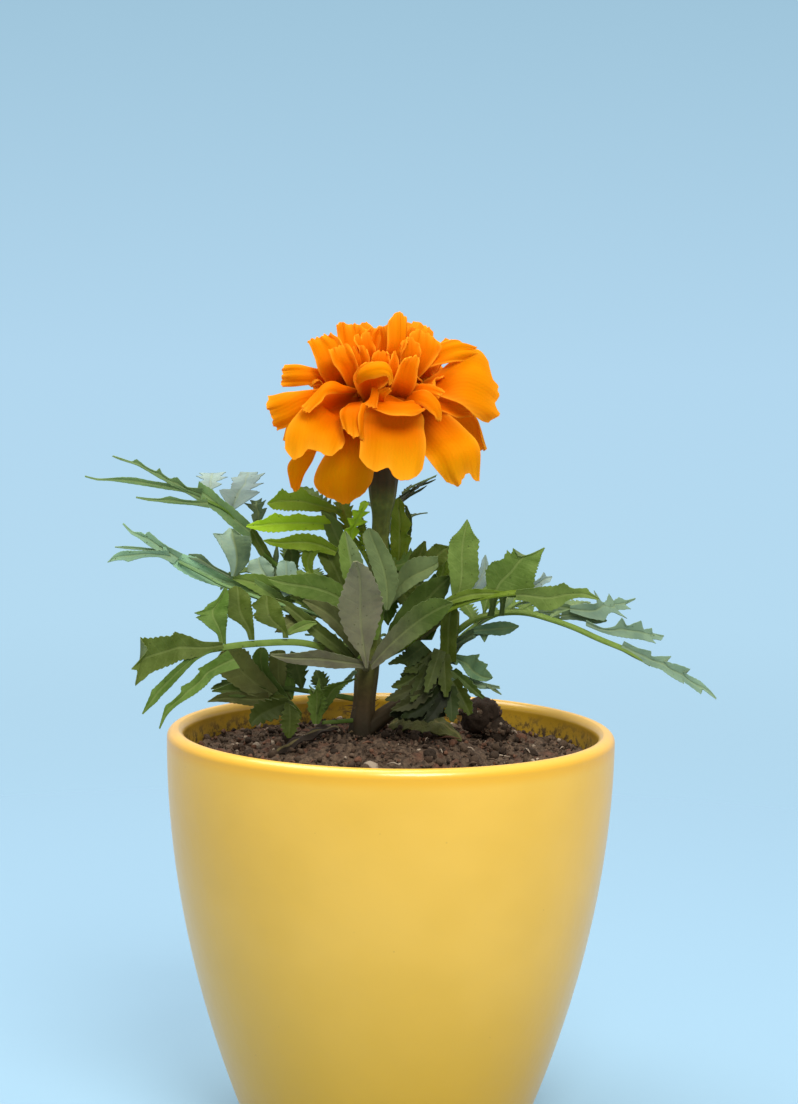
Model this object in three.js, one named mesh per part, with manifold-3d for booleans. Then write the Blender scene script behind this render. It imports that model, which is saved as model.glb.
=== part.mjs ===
// A potted marigold: one double bloom on a leafy stem, rooted in compost in a glazed pot.
// Millimetres, +Z up; the flower faces -Y. The origin is the centre of the pot's flat underside.

import * as THREE from "three";
import Module from "manifold-3d";
import { mergeVertices } from "three/addons/utils/BufferGeometryUtils.js";

// ---------------------------------------------------------------- driving dimensions

const GAP = 0.3; // clearance between pieces that meet on the real plant

const POT = {
  height: 91,
  rimRadius: 52.5,
  baseRadius: 34.6,
  wall: 4,
  floor: 5,
  swell: 1.95, // how fast the side opens out from the base to the rim
  sides: 40,
};

const SOIL = {
  level: 84.3, // at the wall, below the rim
  mound: { x: -1, y: 3, radius: 26, height: 4.6 }, // the root ball stands a little proud
  grain: 0.8, // height of the crumbled surface
  sides: 36,
  rings: 6,
};

// Loose lumps in the top of the compost: centre and radius. The first is a clod of the old root ball.
const LUMPS = [
  { at: [22.5, 27, 88.5], radius: 5.4 },
  { at: [27, 24, 86], radius: 4.2 },
  { at: [9, -12, 86.8], radius: 1.8 },
  { at: [-24, 10, 86.4], radius: 1.9 },
  { at: [33, 3, 84.6], radius: 1.8 },
  { at: [-33, -4, 84.7], radius: 1.6 },
  { at: [3, 28, 86], radius: 2.4 },
  { at: [-17, 27, 85], radius: 2 },
];

// Stems are lists of [x, y, z, radius] from the root up.
const STEM = [
  [-6.8, 2, 76, 3.1],
  [-6.8, 2, 91, 3.1],
  [-6.4, 1.7, 98, 2.5],
  [-5.8, 1.2, 106.5, 2.7],
  [-4.9, 0.8, 116, 2.2],
  [-4, 0.4, 127, 2.1],
  [-3.3, 0, 137, 1.9],
];
const SHOOT = [
  [-6.2, 1.5, 91, 2],
  [-1.8, 1.8, 95, 2],
  [3.6, 2, 98.6, 1.9],
  [8.6, 2.2, 102.6, 1.9],
  [12, 2.2, 108, 1.8],
  [13.6, 2, 114, 1.7],
  [14.2, 2, 120, 1.3],
];
const STALK = [
  [-3.3, 0, 137.3, 1.9],
  [-3, 0, 142, 2.1],
  [-2.8, 0, 146, 2.9],
  [-2.8, 0, 150, 3.4],
  [-2.9, 0, 156, 4.3],
  [-3, 0, 161.5, 5.2],
];
const HOLE = { radius: 3.6, floor: 75.5 }; // the plain hole in the compost that the stem stands in

const BLADE = 0.6; // thickness of a leaf blade
const PETAL = 0.7; // thickness of a petal

// Rows across a blade: [share of the length, half width to the left, half width to the right].
const OUTLINES = {
  broad: [
    [0, 0.18, 0.18], [0.42, 1, 0.86], [0.51, 0.66, 0.7], [0.7, 0.8, 0.9], [0.79, 0.42, 0.46],
    [1, 0.05, 0.05],
  ],
  slim: [
    [0, 0.5, 0.5], [0.38, 0.9, 0.7], [0.46, 0.62, 0.74], [0.7, 0.5, 0.8], [0.78, 0.42, 0.46],
    [1, 0.06, 0.06],
  ],
};

// A leaf has a midrib along a path from the stem, a width of rib at each end, and leaflets. A leaflet springs
// from a share s of the midrib and ends at its tip. Each blade turns its upper side to face.
const LEAVES = {
  leaf_left_high: {
    face: [0, -0.35, 0.95], rib: [2, 2.4],
    path: [
      [-6, 1, 109], [-14, 3, 117], [-21, 5, 124], [-30, 7, 132], [-35, 8, 137], [-39, 8, 142],
      [-47, 8, 146], [-53, 8, 148.5],
    ],
    leaflets: [
      { s: 1, tip: [-66, 7, 155], width: 3.4, outline: "slim" },
      { s: 0.98, tip: [-73, 10, 150], width: 2.8, outline: "slim" },
      { s: 0.83, tip: [-60, 4, 145], width: 2.4, outline: "slim" },
      { s: 0.77, tip: [-48, 20, 150], width: 6 },
      { s: 0.73, tip: [-34, 22, 150], width: 7 },
      { s: 0.63, tip: [-31, 20, 145], width: 5, outline: "slim" },
      { s: 0.5, tip: [-24, 19, 134], width: 6 },
      { s: 0.36, tip: [-32, 15, 126], width: 7 },
      { s: 0.24, tip: [-14, 12, 128], width: 7 },
    ],
  },
  leaf_left_mid: {
    face: [0, -0.75, 0.66], rib: [1.8, 2.8],
    path: [
      [-6, 0, 112], [-14, -5, 118], [-21, -8, 121], [-28, -10, 123], [-38, -11, 126.5],
      [-43, -11, 129], [-49, -11, 132], [-52.5, -11, 134],
    ],
    leaflets: [
      { s: 1, tip: [-61, -11, 140], width: 3.2, outline: "slim" },
      { s: 0.99, tip: [-64, -9, 135], width: 1.8, outline: "slim" },
      { s: 0.96, tip: [-65, -13, 132], width: 3.4, outline: "slim" },
      { s: 0.66, tip: [-37, -6, 139], width: 8.5 },
      { s: 0.36, tip: [-30, -6, 129], width: 7 },
      { s: 0.21, tip: [-22, -6, 128], width: 6.5 },
    ],
  },
  leaf_left_low: {
    face: [0, -1, 0.1], rib: [1.9, 1.5],
    path: [
      [-6.5, 1.5, 109], [-12, -6, 111], [-21, -12, 115], [-31.5, -15, 115], [-39, -17, 114],
      [-43.5, -18, 113], [-46.5, -18, 111.5],
    ],
    leaflets: [
      { s: 1, tip: [-58, -20, 107], width: 10 },
      { s: 0.97, tip: [-56, -21, 99], width: 3.4, outline: "slim" },
      { s: 0.89, tip: [-52, -22, 96], width: 3.4, outline: "slim" },
      { s: 0.8, tip: [-43, -14, 124], width: 8 },
      { s: 0.64, tip: [-36, -12, 125], width: 6.5 },
      { s: 0.45, tip: [-29, -14, 122], width: 6.5 },
      { s: 0.59, tip: [-39, -19, 106], width: 7 },
      { s: 0.4, tip: [-28, -17, 105], width: 6 },
    ],
  },
  leaf_left_under: {
    face: [0, -0.9, 0.3], rib: [1.7, 1.3],
    path: [[-6.5, 2, 98.5], [-14.5, 4, 99.5], [-22, 7, 100], [-30, 8, 99], [-35.5, 8, 98.5]],
    leaflets: [
      { s: 1, tip: [-44, 8, 96], width: 4, outline: "slim" },
      { s: 0.95, tip: [-43, 9, 99.5], width: 3.4, outline: "slim" },
      { s: 0.57, tip: [-25, 8, 109], width: 6 },
      { s: 0.79, tip: [-32, 9, 108], width: 5.5 },
      { s: 0.93, tip: [-39, 10, 106], width: 6 },
      { s: 0.34, tip: [-18, 6, 107], width: 5 },
      { s: 0.53, tip: [-29, 5, 92], width: 7 },
    ],
  },
  leaf_upper_left: {
    face: [0, -0.35, 0.93], rib: [1.7, 1.3],
    path: [[-4, 0.4, 128], [-7.5, 3, 134], [-11.5, 6, 138.5], [-16, 8, 141.5], [-20.5, 10, 143]],
    leaflets: [
      { s: 1, tip: [-30, 11, 145], width: 6.2 },
      { s: 0.6, tip: [-35, 3, 140], width: 5 },
      { s: 0.31, tip: [-30, -2, 136], width: 4.4 },
      { s: 0.84, tip: [-24, 19, 147], width: 5.5 },
      { s: 0.55, tip: [-14, 16, 146], width: 5 },
      { s: 0.37, tip: [-10, 9, 144], width: 5 },
    ],
  },
  leaf_front_high: {
    face: [0, -1, 0.25], rib: [1.8, 1.6],
    path: [[-4.7, 0.6, 117.5], [-4.2, -5, 122], [-3.5, -8, 126.5]],
    leaflets: [
      { s: 1, tip: [-5, -7, 140], width: 9 },
      { s: 0.9, tip: [-13, -8, 135], width: 7 },
      { s: 0.9, tip: [7, -9, 132], width: 8 },
      { s: 0.5, tip: [-18, -12, 126], width: 7 },
      { s: 0.5, tip: [5, -4, 122], width: 7 },
    ],
  },
  leaf_front: {
    face: [0, -0.9, 0.5], rib: [2.2, 2.4],
    path: [[-6, 1, 105.5], [-6, -8, 109.5], [-6.5, -16, 114.5]],
    leaflets: [
      { s: 1, tip: [-9, -31, 133], width: 10.8 },
      { s: 0.6, tip: [-28, -25, 113], width: 5 },
      { s: 0.8, tip: [-24, -22, 129], width: 8 },
      { s: 0.75, tip: [8, -22, 125], width: 9 },
    ],
  },
  leaf_right_high: {
    face: [0, -0.6, 0.8], rib: [3.6, 2],
    path: [
      [-5.7, 1, 107.5], [0.5, -7, 111.5], [8, -12, 118], [12, -13, 122], [19, -14, 125],
      [26.5, -15, 126.5], [31.5, -16, 127], [34.5, -16, 127],
    ],
    leaflets: [
      { s: 1, tip: [45, -18, 126], width: 5.5, outline: "slim" },
      { s: 0.57, tip: [17, -12, 143], width: 8.8, face: [0, -1, 0.1] },
      { s: 0.8, tip: [33, -13, 136], width: 10.5, face: [0, -1, 0.1] },
      { s: 0.42, tip: [9, -9, 134], width: 8, face: [0, -1, 0.2] },
      { s: 0.28, tip: [11, -21, 113], width: 4.5 },
    ],
  },
  leaf_right_long: {
    face: [0, -0.45, 0.9], rib: [2, 1.5],
    path: [
      [13.6, 2, 114], [18, 2, 117.5], [21.5, 2, 119], [27, 1, 120], [31.5, 0, 120], [36, -1, 119],
      [42, -1, 117], [48, -2, 114.5], [54.5, -3, 112], [60, -3, 109],
    ],
    leaflets: [
      { s: 1, tip: [75, -5, 102], width: 4.6, outline: "slim" },
      { s: 0.58, tip: [57, 10, 122], width: 6.5 },
      { s: 0.78, tip: [64, 6, 114], width: 5 },
      { s: 0.18, tip: [24, 12, 131], width: 6 },
      { s: 0.26, tip: [31, 12, 131], width: 6 },
      { s: 0.35, tip: [39, 14, 128], width: 5 },
      { s: 0.49, tip: [49, 14, 124], width: 4.5 },
      { s: 0.54, tip: [37, -12, 116], width: 3, outline: "slim" },
    ],
  },
  leaf_right_small: {
    face: [0.1, -0.6, 0.8], rib: [1.6, 1.4],
    path: [[12.8, 2, 110.5], [18, -3, 113.5], [22, -5, 116]],
    leaflets: [
      { s: 1, tip: [29, -6, 118], width: 4.6 },
      { s: 0.69, tip: [26, -9, 114], width: 3, outline: "slim" },
    ],
  },
  leaf_right_hanging: {
    face: [0.2, -0.95, 0.3], rib: [1.6, 1.4],
    path: [[11.5, 2.2, 107], [15.5, -4, 108.5], [17.5, -6, 108]],
    leaflets: [
      { s: 1, tip: [25, -9, 103], width: 3.6, outline: "slim" },
      { s: 0.65, tip: [24, -6, 107], width: 5 },
    ],
  },
  leaf_right_under: {
    face: [0, -0.9, 0.4], rib: [1.9, 1.5],
    path: [[7.5, 2, 101.5], [8.5, -6, 103], [10, -11, 102]],
    leaflets: [
      { s: 1, tip: [17, -14, 97], width: 8 },
      { s: 0.65, tip: [3, -15, 97], width: 7 },
      { s: 0.4, tip: [1, -9, 108], width: 8 },
      { s: 0.5, tip: [5, -6, 114], width: 6 },
      { s: 0.65, tip: [18, -11, 101], width: 7 },
    ],
  },
  leaf_centre_right: {
    face: [0.2, -0.8, 0.5], rib: [1.7, 1.3],
    path: [[-3.9, 0.4, 127.5], [-1, 5, 131.5], [0.7, 7, 135]],
    leaflets: [
      { s: 1, tip: [2, 8, 145], width: 4.2, outline: "slim" },
      { s: 0.6, tip: [6, 8, 140], width: 4.5 },
      { s: 0.42, tip: [11, 7, 134], width: 6 },
      { s: 0.3, tip: [9, 8, 124], width: 6 },
    ],
  },
  leaf_back_high: {
    face: [0, -0.2, 1], rib: [1.5, 1],
    path: [[-3.6, 0.2, 132], [-1.5, 12, 137], [-0.6, 20, 141.5]],
    leaflets: [
      { s: 1, tip: [10, 34, 149], width: 2.6, outline: "slim" },
      { s: 0.83, tip: [4, 32, 147], width: 3, outline: "slim" },
      { s: 0.73, tip: [-8, 28, 143], width: 3, outline: "slim" },
      { s: 0.6, tip: [8, 23, 141], width: 3, outline: "slim" },
    ],
  },
  leaf_basal: {
    face: [0, -1, 0.1], rib: [1.5, 1.2],
    path: [[-6.8, 2, 94], [-12, -2, 95], [-16, -4, 96]],
    leaflets: [
      { s: 1, tip: [-17, -4, 103], width: 4.2 },
      { s: 0.79, tip: [-9, -3, 102], width: 3, outline: "slim" },
      { s: 0.95, tip: [-22, -5, 94.5], width: 4 },
    ],
  },
};

// Leaves at the back of the plant, each an even feather: where the midrib runs, and its pairs of leaflets.
const FEATHERS = {
  leaf_back_left: {
    from: [-5.2, 1, 112], heading: 128, rise: 34, length: 50,
    pairs: 4, size: 15, width: 6,
  },
  leaf_back_right: {
    from: [12, 2.2, 109], heading: 58, rise: 30, length: 46,
    pairs: 4, size: 14, width: 5.5,
  },
  leaf_back: {
    from: [-6.3, 1.6, 99.5], heading: 98, rise: 30, length: 42,
    pairs: 3, size: 14, width: 6,
  },
};
const FEATHER = { droop: 46, steps: 6, first: 0.34, spread: 48, lift: 14, rib: [1.9, 1.2] };

// Petals: the root, the height of the bend, the tip, and the widest width.
const PETALS = [
  { path: [[2, 1, 166], [12.5, -3, 175.5], [21.5, -4, 172]], width: 17, face: [0.2, -0.9, 0.5] },
  { path: [[2, -3, 163.5], [10, -9, 163], [16, -11, 151.5]], width: 13, face: [0.5, -1, 0.4] },
  { path: [[-1.5, -3, 166], [-1, -16, 169], [0, -17, 153]], width: 14.5, face: [0, -0.6, 1] },
  { path: [[-5, -3, 163], [-9.5, -11, 163], [-11, -12, 146]], width: 13.5, face: [-0.2, -0.8, 0.8] },
  { path: [[-6, -2, 166], [-14.5, -11, 170.5], [-20, -13.5, 157.5]], width: 13.5, face: [-0.5, -0.7, 0.8] },
  { path: [[-8, -1, 163], [-19, -6, 160], [-22, -7, 148.5]], width: 6, face: [-0.7, -0.7, 0.4] },
  { path: [[-8, 1.5, 167.5], [-21, -1, 172.5], [-28, -3, 165.5]], width: 10, face: [-0.3, -0.5, 1] },
  { path: [[-8, 3, 169], [-18.5, 2, 175.5], [-26.5, 2, 174.5]], width: 7.5, face: [0, -0.5, 1] },
  { path: [[0, 3, 164], [14, 10, 167], [20, 14, 157]], width: 13, face: [0.5, 0.4, 0.8] },
  { path: [[-1, 4, 164], [4, 17, 168], [6, 21, 156]], width: 14, face: [0.1, 0.6, 0.8] },
  { path: [[-5, 4, 164], [-11, 17, 167], [-14, 20, 155]], width: 14, face: [-0.2, 0.6, 0.8] },
  { path: [[-8, 3, 165], [-20, 10, 168], [-25, 12, 158]], width: 12, face: [-0.5, 0.4, 0.8] },
];

// The ruffled crest: petals spread evenly over a dome, shorter and more upright towards the top.
const CREST = {
  centre: [-2.5, 0, 163],
  reach: [20, 18, 25], // how far the tips stand out along x, y and z
  uneven: 0.07, // share by which that differs from petal to petal
  shoulder: 0.75, // under 1, the dome is broad on top
  count: 26,
  lowest: 80, // degrees from straight up
  turned: 35, // degrees each petal may be turned out of line
  width: [8.6, 12.6], // at the top of the dome and at its rim
  stations: [0.42, 0.72, 1], // where root, bend and tip lie between the centre and the tip
  arch: 1.2, // rise of the bend above a straight petal
};
const CORE = { radius: 10, height: 18 }; // the dense heart that the petals stand out of

// How petals are shaped: rows of [share of the length, half width], points across, and height of the ruffle.
const OUTER_SHAPE = {
  rows: [[0, 0.3], [0.22, 0.55], [0.45, 0.84], [0.68, 1], [0.87, 0.97], [1, 0.7]],
  columns: 3,
  ruffle: 0.9,
};
const CREST_SHAPE = {
  rows: [[0, 0.35], [0.45, 0.72], [0.8, 1], [1, 0.72]],
  columns: 2,
  ruffle: 1.7,
};
const PETAL_CUP = 0.16; // how far the sides turn down, as a share of the width
const PETAL_END = { round: 0.17, uneven: 0.06 }; // how far the corners of the end draw back, likewise

// ---------------------------------------------------------------- small tools

const { lerp, degToRad } = THREE.MathUtils;
const vec = (p) => new THREE.Vector3(...p);
const turn = 2 * Math.PI;

// A repeatable number from -1 to 1 for each pair of whole numbers.
function jitter(a, b) {
  const s = Math.sin(a * 12.9898 + b * 78.233) * 43758.5453;
  return 2 * (s - Math.floor(s)) - 1;
}

// A surface built up from rings and rows of points.
class Skin {
  points = [];
  faces = [];
  add(p) {
    return this.points.push(p.x, p.y, p.z) / 3 - 1;
  }
  quad(a, b, c, d) {
    this.faces.push(a, b, c, a, c, d);
  }
  // Joins two rings that run anticlockwise seen from where the surface heads.
  band(lower, upper) {
    lower.forEach((a, i) => {
      const j = (i + 1) % lower.length;
      this.quad(a, lower[j], upper[j], upper[i]);
    });
  }
  fan(ring, centre) {
    ring.forEach((a, i) => this.faces.push(a, ring[(i + 1) % ring.length], centre));
  }
  geometry() {
    return new THREE.BufferGeometry()
      .setAttribute("position", new THREE.Float32BufferAttribute(this.points, 3))
      .setIndex(this.faces);
  }
}

// A closed tube through rings of points, with flat ends.
function tube(rings) {
  const skin = new Skin();
  const ids = rings.map((ring) => ring.map((p) => skin.add(p)));
  for (let k = 1; k < ids.length; k++) skin.band(ids[k - 1], ids[k]);
  const middle = (ring) => ring.reduce((a, b) => a.add(b), vec([0, 0, 0])).divideScalar(ring.length);
  skin.fan([...ids[0]].reverse(), skin.add(middle(rings[0])));
  skin.fan(ids.at(-1), skin.add(middle(rings.at(-1))));
  return skin.geometry();
}

// A closed sheet of even thickness over rows of points, split alike on both sides.
function sheet(rows, normals, thickness) {
  const skin = new Skin();
  const side = (hand) =>
    rows.map((row, i) => {
      const off = normals[i].clone().multiplyScalar((hand * thickness) / 2);
      return row.map((p) => skin.add(p.clone().add(off)));
    });
  const [top, low] = [side(1), side(-1)];
  const [last, end] = [rows.length - 1, rows[0].length - 1];
  for (let i = 0; i < last; i++) {
    for (let j = 0; j < end; j++) {
      skin.quad(top[i][j], top[i][j + 1], top[i + 1][j + 1], top[i + 1][j]);
      skin.quad(low[i][j], low[i + 1][j], low[i + 1][j + 1], low[i][j + 1]);
    }
    skin.quad(top[i + 1][0], low[i + 1][0], low[i][0], top[i][0]);
    skin.quad(top[i][end], low[i][end], low[i + 1][end], top[i + 1][end]);
  }
  for (let j = 0; j < end; j++) {
    skin.quad(top[0][j], low[0][j], low[0][j + 1], top[0][j + 1]);
    skin.quad(top[last][j + 1], low[last][j + 1], low[last][j], top[last][j]);
  }
  return skin.geometry();
}

const wasm = await Module();
wasm.setup();

function toManifold(geometry) {
  const bare = geometry.clone();
  bare.deleteAttribute("normal");
  bare.deleteAttribute("uv");
  const merged = mergeVertices(bare, 1e-4);
  return new wasm.Manifold(
    new wasm.Mesh({
      numProp: 3,
      vertProperties: new Float32Array(merged.attributes.position.array),
      triVerts: new Uint32Array(merged.index.array),
    }),
  );
}

// The largest body of a solid, as a geometry.
function toGeometry(solid) {
  const [body] = solid.decompose().sort((a, b) => b.volume() - a.volume());
  const mesh = body.getMesh();
  return new THREE.BufferGeometry()
    .setAttribute("position", new THREE.BufferAttribute(mesh.vertProperties, 3))
    .setIndex(new THREE.BufferAttribute(mesh.triVerts, 1));
}

const union = (geometries) => geometries.map(toManifold).reduce((a, b) => a.add(b));

// ---------------------------------------------------------------- pot and compost

function potRadius(z) {
  const shoulder = POT.height - POT.wall / 2;
  const down = Math.max(0, 1 - z / shoulder);
  return POT.rimRadius - (POT.rimRadius - POT.baseRadius) * down ** POT.swell;
}

function potGeometry() {
  const { height, wall, floor, sides, rimRadius } = POT;
  const lip = wall / 2;
  const foot = 1.2;
  const profile = [[0, 0], [potRadius(0) - foot, 0], [potRadius(foot), foot]];
  for (const z of [10, 20, 31, 44, 58, 73]) profile.push([potRadius(z), z]);
  for (const angle of [0, 60, 120, 180]) {
    const a = degToRad(angle);
    profile.push([rimRadius - lip + lip * Math.cos(a), height - lip + lip * Math.sin(a)]);
  }
  for (const z of [65, 40, 20, floor]) profile.push([potRadius(z) - wall, z]);
  profile.push([0, floor]);
  const points = profile.map(([r, z]) => new THREE.Vector2(r, z));
  return new THREE.LatheGeometry(points, sides).rotateX(Math.PI / 2);
}

function soilHeight(x, y) {
  const { level, mound, grain } = SOIL;
  const away = Math.min(1, Math.hypot(x - mound.x, y - mound.y) / mound.radius);
  const crumbs = Math.sin(x * 0.9 + 1) * Math.cos(y * 1.1) + 0.7 * Math.sin(x * 1.7 - y * 1.3);
  return level + mound.height * (1 - away ** 3) ** 2 + 0.5 * grain * crumbs;
}

function soilGeometry() {
  const { sides, rings, level } = SOIL;
  const bottom = POT.floor + GAP;
  const [holeX, holeY] = STEM[0];
  const circle = (place) => Array.from({ length: sides }, (_, i) => place((turn * i) / sides));
  const against = (z) => {
    const r = potRadius(z) - POT.wall - 1.5 * GAP; // the extra keeps the flat facets off the wall
    return circle((a) => vec([r * Math.cos(a), r * Math.sin(a), z]));
  };
  const hole = (z) => (a) => vec([holeX + HOLE.radius * Math.cos(a), holeY + HOLE.radius * Math.sin(a), z]);
  const edge = against(level);
  const mouth = circle(hole(level));
  const top = Array.from({ length: rings + 1 }, (_, k) =>
    circle((a) => a).map((_, i) => {
      const p = edge[i].clone().lerp(mouth[i], k / rings);
      return p.setZ(soilHeight(p.x, p.y));
    }),
  );
  const outside = [bottom, 20, 40, 65].map(against);
  const body = tube([...outside, ...top, circle(hole(HOLE.floor))]);
  const lumps = LUMPS.map(({ at, radius }, i) => {
    const lump = new THREE.IcosahedronGeometry(radius, radius > 4 ? 1 : 0);
    return lump.scale(1, 0.85, 0.8).rotateZ(i).rotateX(i * 0.7).translate(...at);
  });
  return toGeometry(union([body, ...lumps]));
}

// ---------------------------------------------------------------- stems

function stemGeometry(points, sides, steps, extra = 0) {
  const curve = new THREE.CatmullRomCurve3(points.map(([x, y, z]) => vec([x, y, z])));
  const rings = Array.from({ length: steps + 1 }, (_, k) => {
    const u = k / steps;
    const at = u * (points.length - 1);
    const i = Math.min(points.length - 2, Math.floor(at));
    const radius = extra + lerp(points[i][3], points[i + 1][3], at - i);
    const along = curve.getTangent(u);
    const right = vec([0, 1, 0]).cross(along).normalize();
    const front = along.clone().cross(right);
    return Array.from({ length: sides }, (_, j) => {
      const a = (turn * j) / sides;
      const out = right.clone().multiplyScalar(Math.cos(a)).addScaledVector(front, Math.sin(a));
      return curve.getPoint(u).addScaledVector(out, radius);
    });
  });
  return tube(rings);
}

const stems = (extra) => union([stemGeometry(STEM, 10, 10, extra), stemGeometry(SHOOT, 8, 8, extra)]);
const stalk = (extra) => toManifold(stemGeometry(STALK, 12, 7, extra));

// ---------------------------------------------------------------- leaves

// Rows of points for a blade from root to tip that bulges towards its upper side.
function bladeGeometry({ root, tip, width, face, outline, bulge = 0.08 }) {
  const along = tip.clone().sub(root);
  const length = along.length();
  along.normalize();
  const across = along.clone().cross(face).normalize();
  const up = across.clone().cross(along);
  const rows = OUTLINES[outline].map(([t, left, right]) => {
    const centre = root.clone().lerp(tip, t).addScaledVector(up, 4 * t * (1 - t) * bulge * length);
    return [-left, right].map((half) => centre.clone().addScaledVector(across, (half * width) / 2));
  });
  return sheet(rows, rows.map(() => up), BLADE);
}

const RIB_HEIGHT = 1.1;

function ribGeometry(curve, face, [first, last], steps) {
  const rings = Array.from({ length: steps + 1 }, (_, k) => {
    const u = k / steps;
    const along = curve.getTangentAt(u);
    const across = along.clone().cross(face).normalize();
    const up = across.clone().cross(along);
    const half = lerp(first, last, u) / 2;
    const tall = (RIB_HEIGHT / 2) * (1 - 0.35 * u);
    const side = across.multiplyScalar(half);
    const ridge = up.multiplyScalar(tall);
    const centre = curve.getPointAt(u);
    return [
      centre.clone().sub(side),
      centre.clone().add(ridge),
      centre.clone().add(side),
      centre.clone().sub(ridge),
    ];
  });
  return tube(rings);
}

// Fuses a rib and its leaflets, and trims the foot to sit just off the stems.
function leafGeometry({ path, face, rib, leaflets }) {
  const curve = new THREE.CatmullRomCurve3(path.map(vec), false, "centripetal");
  const upper = vec(face).normalize();
  const blades = leaflets.map((leaflet) =>
    bladeGeometry({
      ...leaflet,
      root: curve.getPointAt(Math.min(leaflet.s, 0.985)),
      tip: vec(leaflet.tip),
      face: leaflet.face ? vec(leaflet.face) : upper,
      outline: leaflet.outline ?? "broad",
    }),
  );
  const steps = Math.max(3, path.length);
  return toGeometry(union([ribGeometry(curve, upper, rib, steps), ...blades]).subtract(STEM_ROOM));
}

// Works out the path and leaflets of an even, arching feather.
function featherLeaf({ from, heading, rise, length, pairs, size, width }, number) {
  const path = [vec(from)];
  const flat = vec([Math.cos(degToRad(heading)), Math.sin(degToRad(heading)), 0]);
  const forward = (share) => {
    const e = degToRad(rise - FEATHER.droop * share);
    return flat.clone().multiplyScalar(Math.cos(e)).setZ(Math.sin(e));
  };
  for (let k = 0; k < FEATHER.steps; k++) {
    const step = forward((k + 0.5) / FEATHER.steps).multiplyScalar(length / FEATHER.steps);
    path.push(path[k].clone().add(step));
  }
  const curve = new THREE.CatmullRomCurve3(path, false, "centripetal");
  const leaflets = [{ s: 1, tip: path.at(-1).clone().addScaledVector(forward(1), size).toArray(), width }];
  for (let i = 0; i < 2 * pairs; i++) {
    const s = lerp(FEATHER.first, 0.95, Math.floor(i / 2) / (pairs - 1));
    const hand = i % 2 ? 1 : -1;
    const spread = degToRad(FEATHER.spread + 6 * jitter(number, i));
    const side = vec([hand * flat.y, -hand * flat.x, Math.sin(degToRad(FEATHER.lift))]).normalize();
    const reach = size * (1 - 0.3 * (2 * s - 1) ** 2) * (1 + 0.12 * jitter(number + 9, i));
    const tip = curve.getPointAt(s).addScaledVector(forward(s), reach * Math.cos(spread));
    leaflets.push({ s, tip: tip.addScaledVector(side, reach * Math.sin(spread)).toArray(), width });
  }
  return { path: path.map((p) => p.toArray()), face: [0, 0, 1], rib: FEATHER.rib, leaflets };
}

// ---------------------------------------------------------------- bloom

function petalGeometry({ path, width, face }, { rows, columns, ruffle }, number) {
  const curve = new THREE.CatmullRomCurve3(path, false, "centripetal");
  const room = 0.5 * (1 - rows.at(-2)[0]) * curve.getLength(); // the end never folds back over the row before
  const normals = [];
  const points = rows.map(([t, half], i) => {
    const along = curve.getTangentAt(t);
    const across = along.clone().cross(face).normalize();
    const up = across.clone().cross(along);
    normals.push(up);
    return Array.from({ length: columns + 1 }, (_, j) => {
      const k = (2 * j) / columns - 1;
      const wave = ruffle * t * jitter(number * 7 + i, j) - PETAL_CUP * width * k * k * t;
      const back = width * (PETAL_END.round * k * k - PETAL_END.uneven * jitter(number, j));
      const p = curve.getPointAt(t).addScaledVector(across, (k * half * width) / 2);
      return p.addScaledVector(up, wave).addScaledVector(along, t === 1 ? -Math.min(room, back) : 0);
    });
  });
  return sheet(points, normals, PETAL);
}

const outerPetals = () =>
  PETALS.map(({ path, width, face }, i) =>
    petalGeometry({ path: path.map(vec), width, face: vec(face) }, OUTER_SHAPE, i),
  );

function crestPetals() {
  const { centre, reach, uneven, shoulder, count, lowest, turned, width, stations, arch } = CREST;
  const goldenAngle = degToRad(137.508);
  return Array.from({ length: count }, (_, i) => {
    const share = (i + 0.5) / count;
    const lean = degToRad(lowest) * Math.sqrt(share);
    const a = i * goldenAngle;
    const wide = Math.sin(lean) ** shoulder;
    const out = vec([wide * Math.cos(a), wide * Math.sin(a), Math.cos(lean) ** shoulder]);
    const far = out.multiply(vec(reach)).multiplyScalar(1 + uneven * jitter(i, 3));
    const path = stations.map((s) => far.clone().multiplyScalar(s).add(vec(centre)));
    path[1].z += arch;
    const b = a + degToRad(turned * jitter(i, 5));
    const inward = vec([-Math.cos(b), -Math.sin(b), 0.9 * Math.sin(lean)]);
    const number = i + 40; // apart from the numbers of the outer petals
    return petalGeometry({ path, width: lerp(...width, share), face: inward }, CREST_SHAPE, number);
  });
}

function bloomGeometry() {
  const { radius, height } = CORE;
  const [x, y] = CREST.centre;
  const base = STALK.at(-1)[2] - 1;
  const heart = new THREE.SphereGeometry(radius, 12, 6).scale(1, 1, height / 2 / radius);
  heart.rotateX(Math.PI / 2).translate(x, y, base + height / 2);
  return toGeometry(union([heart, ...outerPetals(), ...crestPetals()]).subtract(stalk(GAP)));
}

// ---------------------------------------------------------------- leaves lying on the compost

// A spent leaf that has curled as it dried: points along it with its width at each.
const FALLEN_LEAF = {
  rows: [[18.5, 4.5, 1.2], [15, 5, 5.2], [11.5, 6, 8.4], [8, 7, 7.6], [4.5, 8, 6.4], [1.5, 9, 1.4]],
  clear: 0.75, // of the compost's nominal surface
  lift: 1.2, // of the middle above the edges
};
const DRY_LEAF = {
  rows: [[-12.5, 6, 1], [-15.5, 4.5, 2.2], [-19, 2.5, 2.6], [-23, 1, 2.2], [-26.5, -2, 0.8]],
  clear: 0.95,
  lift: 0.8,
};

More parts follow.
